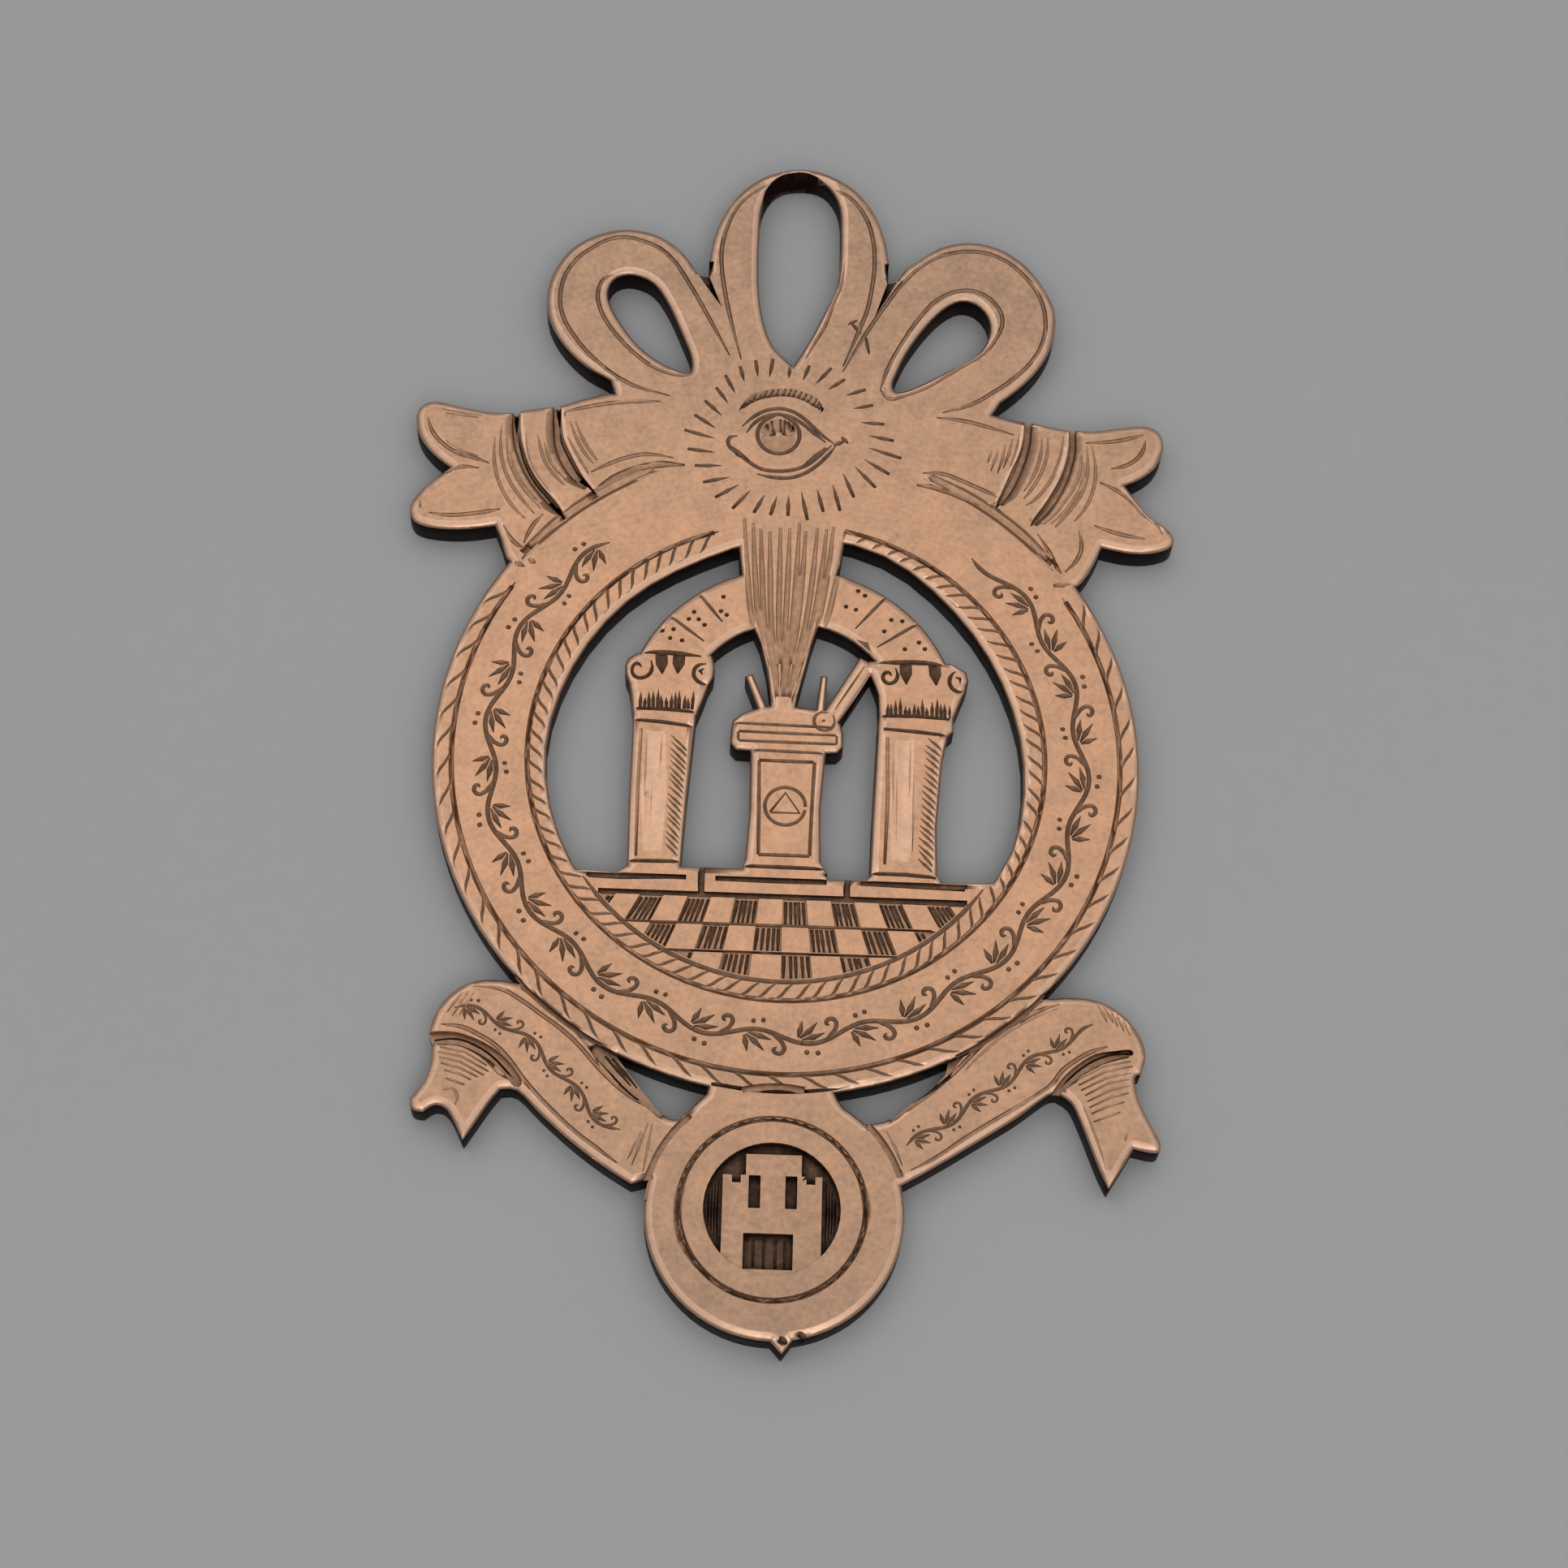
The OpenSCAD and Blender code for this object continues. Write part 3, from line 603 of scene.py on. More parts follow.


# Each piece holds its strokes, and its gravers in the order of work: the strokes that each one cuts,
# its width and depth, the shares of the width at a stroke's ends, its finish with any painted shade or
# highlight, and its level
bow = {
    "loops": [
        [(-3.5, 22.5), (-4.6, 24.6), (-5.8, 26.8), (-7, 28.5), (-8.3, 29.2), (-9.6, 29.35), (-11, 28.6),
         (-12, 27.5), (-12.45, 26), (-12.3, 24.6), (-11.6, 23.3), (-10.5, 22), (-8.6, 20.6), (-6.5, 20)],
        [(-9.5, 27.2), (-10.2, 26.8), (-10.5, 26), (-10.4, 25.2), (-10, 24.3), (-9.2, 23.2), (-8.3, 22.3),
         (-7.3, 21.6), (-5.9, 21.25), (-5.4, 21.4)],
        [(-1.7, 33), (-3.1, 31.9), (-3.8, 30.5), (-4.1, 29), (-4.1, 28), (-3.9, 26.5), (-3.6, 25),
         (-2.9, 22.3)],
        [(1.6, 32.9), (2.6, 32.3), (3.4, 31.2), (3.8, 30), (3.95, 28.5), (3.85, 27), (3.6, 25.5),
         (3.2, 24.3), (2.4, 22.1)],
        [(2.35, 28.5), (2.2, 27), (1.8, 25.8), (1.4, 24.5), (0.9, 23.5), (0.5, 22.6)],
        [(2.4, 21.8), (3.5, 24), (4.6, 25.9), (5.5, 27.3), (6.8, 28.6), (8, 29.15), (9.3, 29.3),
         (10.5, 29), (11.7, 28.1), (12.6, 26.8), (12.95, 25.3), (12.8, 24), (12.2, 22.8), (11.3, 21.8),
         (10.2, 20.9), (9, 20.1), (7.6, 19.6)],
        [(4.35, 20.8), (4.7, 22), (5.6, 23.9), (6.5, 25.4), (7.4, 26.4), (8.5, 26.9), (9.4, 26.85),
         (10.3, 26.2), (10.7, 25.2), (10.4, 24.2), (9.7, 23.2), (8.3, 22.2), (6.8, 21.1), (5.5, 20.5),
         (4.8, 20.3), (4.35, 20.8)],
    ],
    "nicks": [[(2.7, 24.8), (3.3, 24.1)], [(3.5, 24.1), (3.75, 22.9)], [(2.6, 24.6), (3.1, 24.9)],
              [(3.3, 32.4), (3.6, 32.1)]],
    "contours": [
        [(-12, 18.8), (-11, 19.1), (-9.5, 19.45), (-8, 19.6), (-7, 19.65)],
        [(-10.4, 15.4), (-9.5, 15.9), (-8.5, 16.35), (-7.5, 16.55), (-6.2, 16.4)],
        [(7.3, 19.3), (8.5, 19.2), (9.8, 18.9), (11.3, 18.45)],
        [(6.6, 16.05), (7.6, 16.05), (8.7, 15.65), (9.9, 15.1), (10.6, 14.8)],
        [(-18.9, 18.2), (-18.6, 17.4), (-18, 16.7), (-17.2, 16.2), (-16.3, 15.95), (-15.6, 15.7)],
        [(-18.9, 14), (-18.4, 14.7), (-17.7, 15.2), (-16.9, 15.45), (-16.1, 15.4)],
        [(-18.5, 12.75), (-17.5, 12.65), (-16.5, 12.75), (-15.5, 12.95), (-14.9, 13.1)],
        [(-14.7, 12.2), (-14.3, 11.5), (-13.9, 11.1), (-13.6, 10.95)],
        [(-13.6, 11.2), (-13.4, 11.8), (-13.1, 12.4), (-12.7, 12.9)],
        [(15, 18.15), (16.2, 18.25), (17.3, 18.5), (18, 18.75)],
        [(18.1, 18.4), (17.95, 17.8), (17.5, 17.2), (16.9, 16.85), (16.3, 16.7)],
        [(15.7, 15.9), (16.5, 15.5), (17.2, 15), (17.9, 14.2), (18.4, 13.7)],
        [(15.4, 13.4), (16.2, 13.1), (17.2, 12.85), (18, 12.75)],
        [(12.5, 12.8), (13.1, 11.8), (13.5, 10.9), (13.7, 10.6)],
        [(13.9, 10.7), (14.5, 11.4), (14.75, 12.2), (14.6, 13.1)],
    ],
    # the ring's rim casts a shadow on the ribbon here: a painted shadow in a shallow groove
    "under": [[(-10.2, 14.35), (-9.2, 15.1), (-8, 15.7), (-6.8, 16), (-5.6, 16)],
              [(6.3, 15.35), (7.5, 15.2), (8.8, 14.7), (9.8, 14.2)]],
    # where the ring crosses the ribbon its groove is first filled to a low ridge
    "ringGrooves": [arc(17.32, 66.4, 41.5), arc(17.32, 114.6, 140)],
    # edges of the ring that are rubbed bright beside the ribbon and the scrolls, wear with a painted
    # highlight
    "ringLips": [arc(17.11, 39, 67), arc(17.11, 114, 143), arc(17.47, 222, 242), arc(17.47, 298, 318)],
    # the slopes that fall to the folds
    "slopes": [
        [(-12.4, 19.1), (-12.35, 18), (-12.2, 16.9), (-11.8, 15.9), (-11.25, 15.1), (-10.55, 14.5)],
        [(-14.45, 18.8), (-14.4, 17.6), (-14.15, 16.5), (-13.7, 15.4), (-13.05, 14.35), (-12.3, 13.5),
         (-11.7, 12.8)],
        [(12.15, 19), (12.05, 18), (11.8, 17), (11.4, 15.9), (11, 15.1), (10.55, 14.4)],
        [(14.4, 18.8), (14.4, 17.8), (14.25, 16.9), (13.95, 16), (13.5, 15), (12.95, 14.1), (12.3, 13.35)],
    ],
    # dark notches where the folds turn under: painted shade in cut notches
    "notches": [[(-12.25, 19.4), (-12.2, 18.8), (-12.1, 18)],
                [(-14.38, 18.9), (-14.36, 18.3), (-14.3, 17.5)],
                [(-10.9, 15.1), (-10.45, 14.55), (-10.05, 14.1)],
                [(-12.4, 13.75), (-11.95, 13.15), (-11.55, 12.6)]],
    # the darkest line of each fold, painted shade in a cut groove, and the bright edge beside it, wear with
    # a painted highlight
    "cores": [
        [(-12.15, 18.3), (-12, 17.3), (-11.6, 16.4), (-11.1, 15.5), (-10.6, 14.8), (-10.1, 14.2)],
        [(-14.3, 18), (-14.1, 16.9), (-13.75, 15.8), (-13.2, 14.8), (-12.5, 13.95), (-11.9, 13.15),
         (-11.6, 12.7)],
    ],
    # lighter lines of painted shade in the folds on the right
    "softCores": [
        [(11.95, 18.9), (11.7, 17.6), (11.35, 16.5), (10.95, 15.6), (10.6, 14.8), (10.3, 14.35)],
        [(14.32, 18.7), (14.2, 17.5), (13.95, 16.6), (13.6, 15.6), (13.15, 14.8), (12.7, 14.1),
         (12.25, 13.4)],
    ],
    "edges": [
        [(-12, 19.2), (-11.92, 18.1), (-11.68, 17.1), (-11.2, 16.1), (-10.6, 15), (-10.05, 14.3)],
        [(-14.1, 18.8), (-14.03, 17.7), (-13.8, 16.6), (-13.44, 15.6), (-12.84, 14.65), (-12.12, 13.8),
         (-11.5, 12.95)],
        [(11.75, 19), (11.68, 18.2), (11.44, 17.3), (11, 16.3), (10.6, 15.2), (10.25, 14.4)],
        [(14.1, 18.7), (14.05, 17.9), (13.9, 17.1), (13.62, 16.2), (13.2, 15.3), (12.68, 14.4),
         (12.1, 13.55)],
    ],
    "flutes": [
        [(-15.4, 17.2), (-15.35, 15.8), (-14.95, 14.4), (-14.2, 13.2), (-13.6, 12.6)],
        [(-15.1, 17.9), (-15.05, 16.4), (-14.65, 15), (-13.9, 13.8), (-13.15, 12.9)],
        [(-14.75, 17.6), (-14.68, 16.4), (-14.3, 15.2), (-13.6, 14.1), (-12.85, 13.2)],
        [(-13.85, 17.6), (-13.7, 16.4), (-13.3, 15.4), (-12.6, 14.4), (-12, 13.7)],
        [(-13.2, 17.4), (-13, 16.6), (-12.7, 15.8), (-12.1, 15), (-11.7, 14.6)],
        [(-12.85, 17), (-12.6, 16.2), (-12.1, 15.4), (-11.4, 14.8)],
        [(-11.9, 17.8), (-11.4, 16.8), (-10.9, 15.9), (-10.5, 15.3)],
        [(-11.6, 18.3), (-11.2, 17.3), (-10.7, 16.4), (-10.3, 15.9)],
        [(-11.3, 18.3), (-10.9, 17.3), (-10.4, 16.5), (-10.1, 16.1)],
        [(11.6, 18.6), (11.5, 17.8), (11.2, 16.8), (10.9, 16)],
        [(11.2, 18.2), (11.05, 17.4), (10.75, 16.5)],
        [(10.85, 17.9), (10.7, 17), (10.45, 16.2)],
        [(12.75, 18.3), (12.65, 17.2), (12.3, 16.1), (11.8, 15.2)],
        [(13.05, 18.4), (13, 17.3), (12.65, 16.2), (12.1, 15.2), (11.8, 14.8)],
        [(13.85, 18.5), (13.75, 17.5), (13.45, 16.5), (12.95, 15.5), (12.3, 14.7), (11.9, 14.4)],
        [(14.75, 17.8), (14.75, 16.8), (14.5, 15.8), (14, 14.9), (13.4, 14), (12.8, 13.35)],
        [(15.05, 18), (15.1, 16.6), (14.85, 15.4), (14.3, 14.4), (13.7, 13.6), (13.4, 13.2)],
        [(15.35, 18), (15.5, 16.4), (15.3, 15.2), (14.9, 14.3), (14.4, 13.6)],
    ],
    "hairs": [
        [(-14.6, 16.9), (-14.4, 16), (-13.95, 15), (-13.25, 14), (-12.7, 13.4)],
        [(-18.2, 18.75), (-17.2, 18.6), (-16.1, 18.45)], [(-18, 18.5), (-17, 18.42), (-16.3, 18.3)],
        [(-17.9, 16.9), (-17.1, 16.35), (-16.2, 16.1)],
        [(14.95, 17), (14.85, 16), (14.45, 15), (13.85, 14.1), (13.2, 13.4)],
        [(10.5, 17.6), (10.3, 16.9), (10.1, 16.3)], [(10.15, 17.5), (9.95, 16.8)],
        [(18.7, 13.7), (18.9, 13)], [(-19.05, 13.6), (-18.95, 13)],
    ],
    "pits": [[(-14, 10.15), (-13.5, 9.9)], [(-13.3, 10.35), (-12.95, 10.1)], [(13.3, 9.9), (14.2, 10.05)]],
    "gravers": [
        ("ringGrooves", 1.5, 0.34, (1, 0.5), "sunk", 0.38, True, "UNION"),
        ("ringGrooves", 0.62, 0.19, (0.35, 0.6), "sunk"),
        ("slopes", 1.0, 0.16, (0.8, 0.4), "sunk"),
        ("slopes", 0.55, 0.27, (0.8, 0.5), "fine"),
        ("edges", 0.34, 0.07, (0.6, 0.3), "lip"),
        ("cores", 0.22, 0.3, (0.6, 0.6), "graved", 0.22),
        ("softCores", 0.18, 0.2, (0.8, 0.5), "fine", 0.25),
        ("notches", 0.30, 0.4, (1.0, 0.3), "deep", 0.3),
        ("loops", 0.23, 0.12, (0.3, 0.3), "fine"),
        ("nicks", 0.22, 0.11, (0.2, 0.4)),
        ("contours", 0.23, 0.11, (0.3, 0.3), "fine"),
        ("under", 0.42, 0.2, (0.3, 0.3), "fine"),
        ("flutes", 0.19, 0.08, (0.3, 0.3), "fine"),
        ("hairs", 0.16, 0.08, (0.3, 0.3), "sunk"),
        ("pits", 0.32, 0.14, (0.5, 0.3), "fine"),
        ("ringLips", 0.36, 0.09, (0.3, 0.3), "lip"),
    ],
}

eye = {
    "irisLine": [arc(1.08, 100, 440, (-0.85, 17.95), 20)],
    "irisDisc": circle(0.54, (-0.85, 17.95), 24),
    "lids": [
        [(-2.75, 18.35), (-2.1, 19), (-1.2, 19.45), (-0.3, 19.4), (0.5, 18.9), (1.3, 18.1), (2.1, 17.5)],
        [(-2.5, 18), (-2.1, 18.6), (-1.4, 19.05), (-0.5, 19.1), (0.3, 18.7), (1, 18.1), (1.6, 17.6)],
        [(-2.95, 17.8), (-3.35, 17.7), (-3.4, 17.25), (-2.9, 16.8), (-2.3, 16.3), (-1.7, 15.95),
         (-0.9, 15.85), (-0.1, 15.95), (0.7, 16.3), (1.3, 16.85), (1.9, 17.45)],
        [(-1.9, 15.65), (-1.2, 15.5), (-0.3, 15.48), (0.4, 15.7), (1.1, 16.2), (1.7, 16.85), (2.1, 17.4)],
    ],
    "heavy": [[(0.5, 16.25), (1.1, 16.75), (1.6, 17.3)], [(-3.3, 17.2), (-2.9, 16.8), (-2.3, 16.35)]],
    "corner": [[(2, 17.45), (2.6, 17.75)], [(2.4, 17.95), (2.75, 17.6)]],
    "pupil": [[(-1.42, 18.55), (-1.36, 18.2)], [(-1.2, 18.75), (-1.12, 18), (-0.9, 17.9)],
              [(-0.78, 18.85), (-0.72, 18.1)],
              [(-0.56, 18.85), (-0.52, 17.95)], [(-0.34, 18.75), (-0.3, 18.2)],
              [(-0.12, 18.55), (-0.1, 18.25)]],
    "brow": [[(-2.8, 19.45), (-2.2, 20.05), (-1.4, 20.35), (-0.5, 20.45), (0.3, 20.3), (1, 19.9),
              (1.4, 19.5)]],
    "browHairs": 18,
    "browHair": (0.10, 0.17, 0.20, 0.04),  # reach aside, down and up, and how uneven
    "rays": [
        [(-0.4, 21.3), (-0.35, 22)], [(0.35, 21.2), (0.65, 22.1)], [(1, 21), (1.8, 22)],
        [(1.65, 20.7), (2.5, 21.35)], [(2.6, 20.4), (3.6, 20.8)], [(3, 19.65), (4, 19.9)],
        [(3.4, 18.85), (4.6, 18.8)], [(3.8, 18.1), (5.1, 17.85)], [(3.8, 17.4), (5.5, 16.85)],
        [(3.6, 16.7), (4.9, 15.9)], [(3.1, 16.3), (4.2, 15.1)], [(2.5, 15.9), (3.1, 14.5)],
        [(2, 15.2), (2.4, 13.7)], [(1.2, 14.9), (1.55, 13.6)], [(0.4, 14.7), (0.75, 13.1)],
        [(-0.25, 14.5), (-0.25, 13.3)], [(-0.85, 14.4), (-1.15, 13.3)], [(-1.45, 14.5), (-2, 13.4)],
        [(-2.2, 14.7), (-3.1, 13.6)], [(-2.8, 15), (-4, 14.2)], [(-3.3, 15.4), (-4.65, 15.05)],
        [(-3.7, 16.05), (-5.1, 16)], [(-4.1, 16.8), (-5.5, 16.95)], [(-4.1, 17.6), (-5.7, 18.05)],
        [(-4.1, 18.2), (-5.2, 18.95)], [(-3.8, 18.95), (-4.7, 19.8)], [(-3.5, 19.7), (-4.15, 20.6)],
        [(-3.15, 20.3), (-3.7, 21.35)], [(-2.7, 21), (-2.95, 21.9)], [(-2, 21.3), (-2.15, 22.3)],
        [(-1.4, 21.3), (-1.25, 22.4)],
    ],
    "gravers": [
        ("lids", 0.21, 0.12),
        ("heavy", 0.34, 0.14, (0.3, 0.4)),
        ("irisLine", 0.22, 0.12),
        ("irisDisc", 0.8, 0.06, (0.95, 0.95), "fine"),
        ("pupil", 0.17, 0.10, (0.5, 0.2), "graved", 0.03),
        ("corner", 0.26, 0.12, (0.5, 0.3)),
        ("brow", 0.5, 0.09, (0.4, 0.3), "fine"),
        ("browHatch", 0.17, 0.10, (0.6, 0.3), "graved", 0.04),
        ("rays", 0.22, 0.11, (0.12, 0.75)),
    ],
}


def browStrokes():
    brow = eye["brow"][0]
    aside, down, up, uneven = eye["browHair"]
    strokes = []
    for i in range(eye["browHairs"]):
        share = i / (eye["browHairs"] - 1) * (len(brow) - 1)
        k = min(int(share), len(brow) - 2)
        (ax, ay), (bx, by) = brow[k], brow[k + 1]
        x, y = ax + (bx - ax) * (share - k), ay + (by - ay) * (share - k)
        strokes.append([(x - aside + jitter(uneven), y - down), (x + aside + jitter(uneven), y + up)])
    return strokes


eye["browHatch"] = browStrokes()

sheaf = {
    # height, left side and right side
    "rows": [(12.7, -2.75, 2.85), (10, -2.5, 2.5), (7, -2.05, 1.85), (5, -1.35, 1.0), (3.2, -0.85, 0.3)],
    "count": 12,
    "uneven": (0.012, 0.35),  # share of the width, and height of the tops, by which rays are off
    "gravers": [("rays", 0.30, 0.12, (0.5, 0.7), "fine")],
}


def sheafStrokes():
    # every third ray stops above the foot of the sheaf
    across, up = sheaf["uneven"]
    strokes = []
    for i in range(sheaf["count"]):
        share = (i + 0.5) / sheaf["count"] + jitter(across)
        rows = sheaf["rows"][:-1] if i % 3 == 1 else sheaf["rows"]
        strokes.append([(left + (right - left) * share, y + (jitter(up) if y > 12 else 0))
                        for y, left, right in rows])
    return strokes


sheaf["rays"] = sheafStrokes()

rope = {
    "uneven": 0.35,  # degrees by which a strand may be off its place
    # a strand's points, as shares of its width and of its lean
    "strand": ((0.03, 0.0), (0.33, 0.36), (0.67, 0.64), (0.98, 1.0)),
}

# A vine for waves of the length given, along and across from the crest of a wave
vine = {
    "wave": 5.2,
    "points": 8,  # points of the stem to a wave
    "swing": 0.36,  # of the stem, as a share of the vine's height
    # foot of each leaf, and its way to the tip
    "leaves": ((-0.55, 0.05, 0.95, -0.80), (-0.62, 0.0, 0.25, -0.88), (-0.45, 0.15, 1.15, -0.30)),
    "bend": (0.5, 0.42),  # shares of that way at the middle of a leaf
    "tendril": [(0.55, 0.30), (0.95, 0.02), (1.28, -0.38), (1.30, -0.72), (1.02, -0.86), (0.84, -0.66),
                (0.98, -0.52)],
    "dots": ((-0.25, 0.82), (0.25, 0.90)),
    "dot": ((-0.1, 0), (0.12, -0.04)),
}


def ropeStrokes(fromRadius, toRadius, start, end, step, lean):
    strokes = []
    for i in range(round((end - start) / step)):
        turn = start + i * step + jitter(rope["uneven"])
        strokes.append([polar(fromRadius + (toRadius - fromRadius) * share, turn + lean * rise)
                        for share, rise in rope["strand"]])
    return strokes


def vineStrokes(place, length, height, wave):
    # place turns a way along and a way across into a point
    count = round(length / wave * vine["points"])
    swing = vine["swing"] * height
    ways = [length * i / count for i in range(count + 1)]
    stem = [place(along, swing * math.sin(2 * math.pi * along / wave)) for along in ways]
    drawn = {"stem": [stem], "leaves": [], "tendrils": [], "dots": []}
    unit = wave / vine["wave"]
    bendU, bendV = vine["bend"]
    shapes = [("leaves", [(u, v), (u + bendU * du, v + bendV * dv), (u + du, v + dv)])
              for u, v, du, dv in vine["leaves"]]
    shapes.append(("tendrils", vine["tendril"]))
    shapes += [("dots", [(u + du, v + dv) for du, dv in vine["dot"]]) for u, v in vine["dots"]]
    for k in range(int(2 * length / wave)):
        crest = (0.5 * k + 0.25) * wave
        side = 1 if k % 2 == 0 else -1
        for name, points in shapes:
            drawn[name].append([place(crest + unit * u, side * height * v) for u, v in points])
    return drawn


ring = {
    # radii at both ends of a strand, first and last place, step and lean in degrees
    "innerRope": ropeStrokes(12.83, 11.95, 109, 436, 3.9, 4.0),
    "outerRope": ropeStrokes(16.57, 17.42, 149, 391, 5.4, 4.8),
    "floorEdge": [arc(11.88, 214.5, 325.5)],
    # a painted shadow line where the ring meets the roundel's top
    "roundelEdge": [arc(17.42, 259.5, 279.5)],
    "lines": [arc(12.83, 107, 438), arc(16.57, 147, 394)],
    "vineRadius": 14.7, "vineFrom": 129, "vineTo": 411, "vineHeight": 0.95, "vineWave": 5.2,
    "gravers": [
        ("innerRope", 0.16, 0.08, (0.7, 0.4)),
        ("outerRope", 0.16, 0.08, (0.7, 0.3)),
        ("floorEdge", 0.24, 0.12),
        ("roundelEdge", 0.22, 0.2, (0.9, 0.7), "deep"),
        ("lines", 0.27, 0.13, (0.3, 0.3), "fine"),
        ("stem", 0.24, 0.13),
        ("leaves", 0.31, 0.16, (0.25, 0.12)),
        ("tendrils", 0.22, 0.11),
        ("dots", 0.28, 0.12, (0.6, 0.6)),
    ],
}


def ringPlace(along, across):
    return polar(ring["vineRadius"] + across, ring["vineFrom"] + math.degrees(along / ring["vineRadius"]))


ringLength = math.radians(ring["vineTo"] - ring["vineFrom"]) * ring["vineRadius"]
ring.update(vineStrokes(ringPlace, ringLength, ring["vineHeight"], ring["vineWave"]))

arch = {
    "joints": [[(-6, 7.4), (-4.3, 6.1)], [(-4.6, 8.7), (-3.4, 7.2)],
               [(5.05, 9.2), (3.3, 7.1)], [(6.8, 7.75), (4.4, 6.1)]],
    "dots": [(-6.4, 6.6), (-6, 6.2), (-5.85, 6.7), (-5.4, 6.1), (-5.1, 7.3), (-4.85, 7.7), (-4.6, 7.3),
             (-4.3, 7), (-3.5, 7.8), (-3.4, 8.6), (-3.2, 7.6), (3.4, 9.2), (3.75, 8.95), (2.8, 8.3),
             (3.3, 8.15), (5.1, 7.65), (5.65, 7.6), (4.75, 7.0), (5.8, 6.05), (6.5, 6.45), (6.8, 6.1)],
    "springs": [[(-7.45, 5.35), (-6.4, 5.4), (-5.4, 5.35), (-4.4, 5.25)],
                [(4.35, 5.25), (5.4, 5.3), (6.8, 5.33), (8.1, 5.2)]],
    "shade": [[(2.7, 10.45), (3.6, 10.2), (4.4, 9.75), (5, 9.3)], [(3.2, 6.6), (3.8, 6.2), (4.3, 5.6)]],
    "gravers": [
        ("joints", 0.19, 0.095, (0.8, 0.4)),
        ("dots", 0.26, 0.12, (0.5, 0.4), "deep"),
        ("springs", 0.28, 0.14, (0.3, 0.3), "deep"),
        ("shade", 0.40, 0.12),
    ],
}
arch["dots"] = [[(x - 0.09, y - 0.06), (x + 0.1, y + 0.07)] for x, y in arch["dots"]]

capitals = {
    "volutes": [
        [(-6.9, 4.95), (-6.85, 4.4), (-7.2, 4), (-7.7, 4.05), (-7.85, 4.45), (-7.6, 4.75), (-7.35, 4.55)],
        [(-4.15, 4.85), (-4.55, 4.75), (-4.75, 4.35), (-4.6, 3.95), (-4.2, 3.75), (-3.85, 3.8)],
        [(-4.25, 4.6), (-4.45, 4.45), (-4.3, 4.25)],
        [(5.35, 5), (5.45, 4.5), (5.15, 4.15), (4.8, 4.25), (4.75, 4.6), (5, 4.75), (5.15, 4.55)],
        [(8.35, 4.95), (8.1, 4.6), (8.1, 4.15), (8.4, 3.85), (8.8, 3.9), (8.9, 4.2)],
        [(8.35, 4.6), (8.6, 4.55), (8.6, 4.3)],
    ],
    "wedges": [[(-6.4, 5.3), (-6.32, 4.2)], [(-5.5, 5.3), (-5.55, 4.25)],
               [(5.85, 5.25), (5.9, 4.1)], [(7.3, 5.25), (7.4, 4.1)]],
    "leafRows": [(-7.35, -4.75), (4.95, 8.1)],
    "leafGap": 0.225,
    "leafHeights": (2.35, 3.15),
    "uneven": (0.03, 0.05, 0.28),  # place, lean and height of a leaf's strokes
    "collars": [[(-7.55, 2.3), (-6, 2.3), (-4.65, 2.2)], [(-7.6, 1.68), (-6.2, 1.6), (-4.6, 1.4)],
                [(4.7, 2.35), (6.4, 2.4), (8.1, 2.3)], [(4.8, 1.65), (6.4, 1.55), (8, 1.4)]],
    "gravers": [
        ("volutes", 0.21, 0.11, (0.3, 0.3), "deep"),
        ("wedges", 0.62, 0.18, (1.0, 0.1), "deep"),
        ("leaves", 0.19, 0.10, (0.95, 0.12), "deep"),
        ("collars", 0.22, 0.11, (0.8, 0.8), "deep"),
    ],
}


def capitalLeaves():
    low, high = capitals["leafHeights"]
    placed, leant, tall = capitals["uneven"]
    strokes = []
    for left, right in capitals["leafRows"]:
        count = round((right - left) / capitals["leafGap"])
        for i in range(count + 1):
            x = left + (right - left) * i / count + jitter(placed)
            strokes.append([(x, low), (x + jitter(leant), high + jitter(tall))])
    return strokes


capitals["leaves"] = capitalLeaves()

shafts = {
    "lines": [[(-7.25, 1.2), (-7.3, -2), (-7.25, -5.6)], [(5, 1.2), (5.05, -2), (4.95, -5.6)]],
    "streaks": [[(-6.95, 0.9), (-6.95, -2.4)], [(-6.6, -0.6), (-6.6, -4.6)], [(-6.2, 1), (-6.25, -1.6)],
                [(5.3, 1), (5.35, -3.2)], [(5.5, 0.4), (5.5, -5.2)], [(6.15, 1.1), (6.1, -2.6)],
                [(6.35, 0.2), (6.3, -4.9)]],
    # a broad painted highlight down each shaft
    "shine": [[(-6.5, 1.1), (-6.5, -2), (-6.45, -5.3)], [(5.85, 1.1), (5.8, -2), (5.7, -5.4)]],
    # number of strokes, the first, the last, and how uneven they are
    "hatchLeft": rowOf(18, [(-5.75, 0.9), (-4.95, 0.1)], [(-5.85, -4.9), (-5.1, -5.6)], 0.05),
    "hatchRight": rowOf(19, [(6.95, 1.2), (7.75, 0.6)], [(6.55, -5.2), (7.3, -5.9)], 0.05),
    "feet": [[(-7.55, -5.85), (-6.2, -5.83), (-4.9, -5.8)], [(4.3, -6.1), (6, -6.1), (7.5, -6.2)]],
    "gravers": [
        ("lines", 0.20, 0.1, (0.8, 0.8), "fine"),
        ("shine", 1.3, 0.03, (0.7, 0.7), "rubbed"),
        ("streaks", 0.16, 0.04, (0.2, 0.2), "sunk"),
        ("hatchLeft", 0.14, 0.07, (0.2, 0.7)),
        ("hatchRight", 0.17, 0.085, (0.2, 0.7)),
        ("feet", 0.22, 0.11, (0.9, 0.9), "deep"),
    ],
}

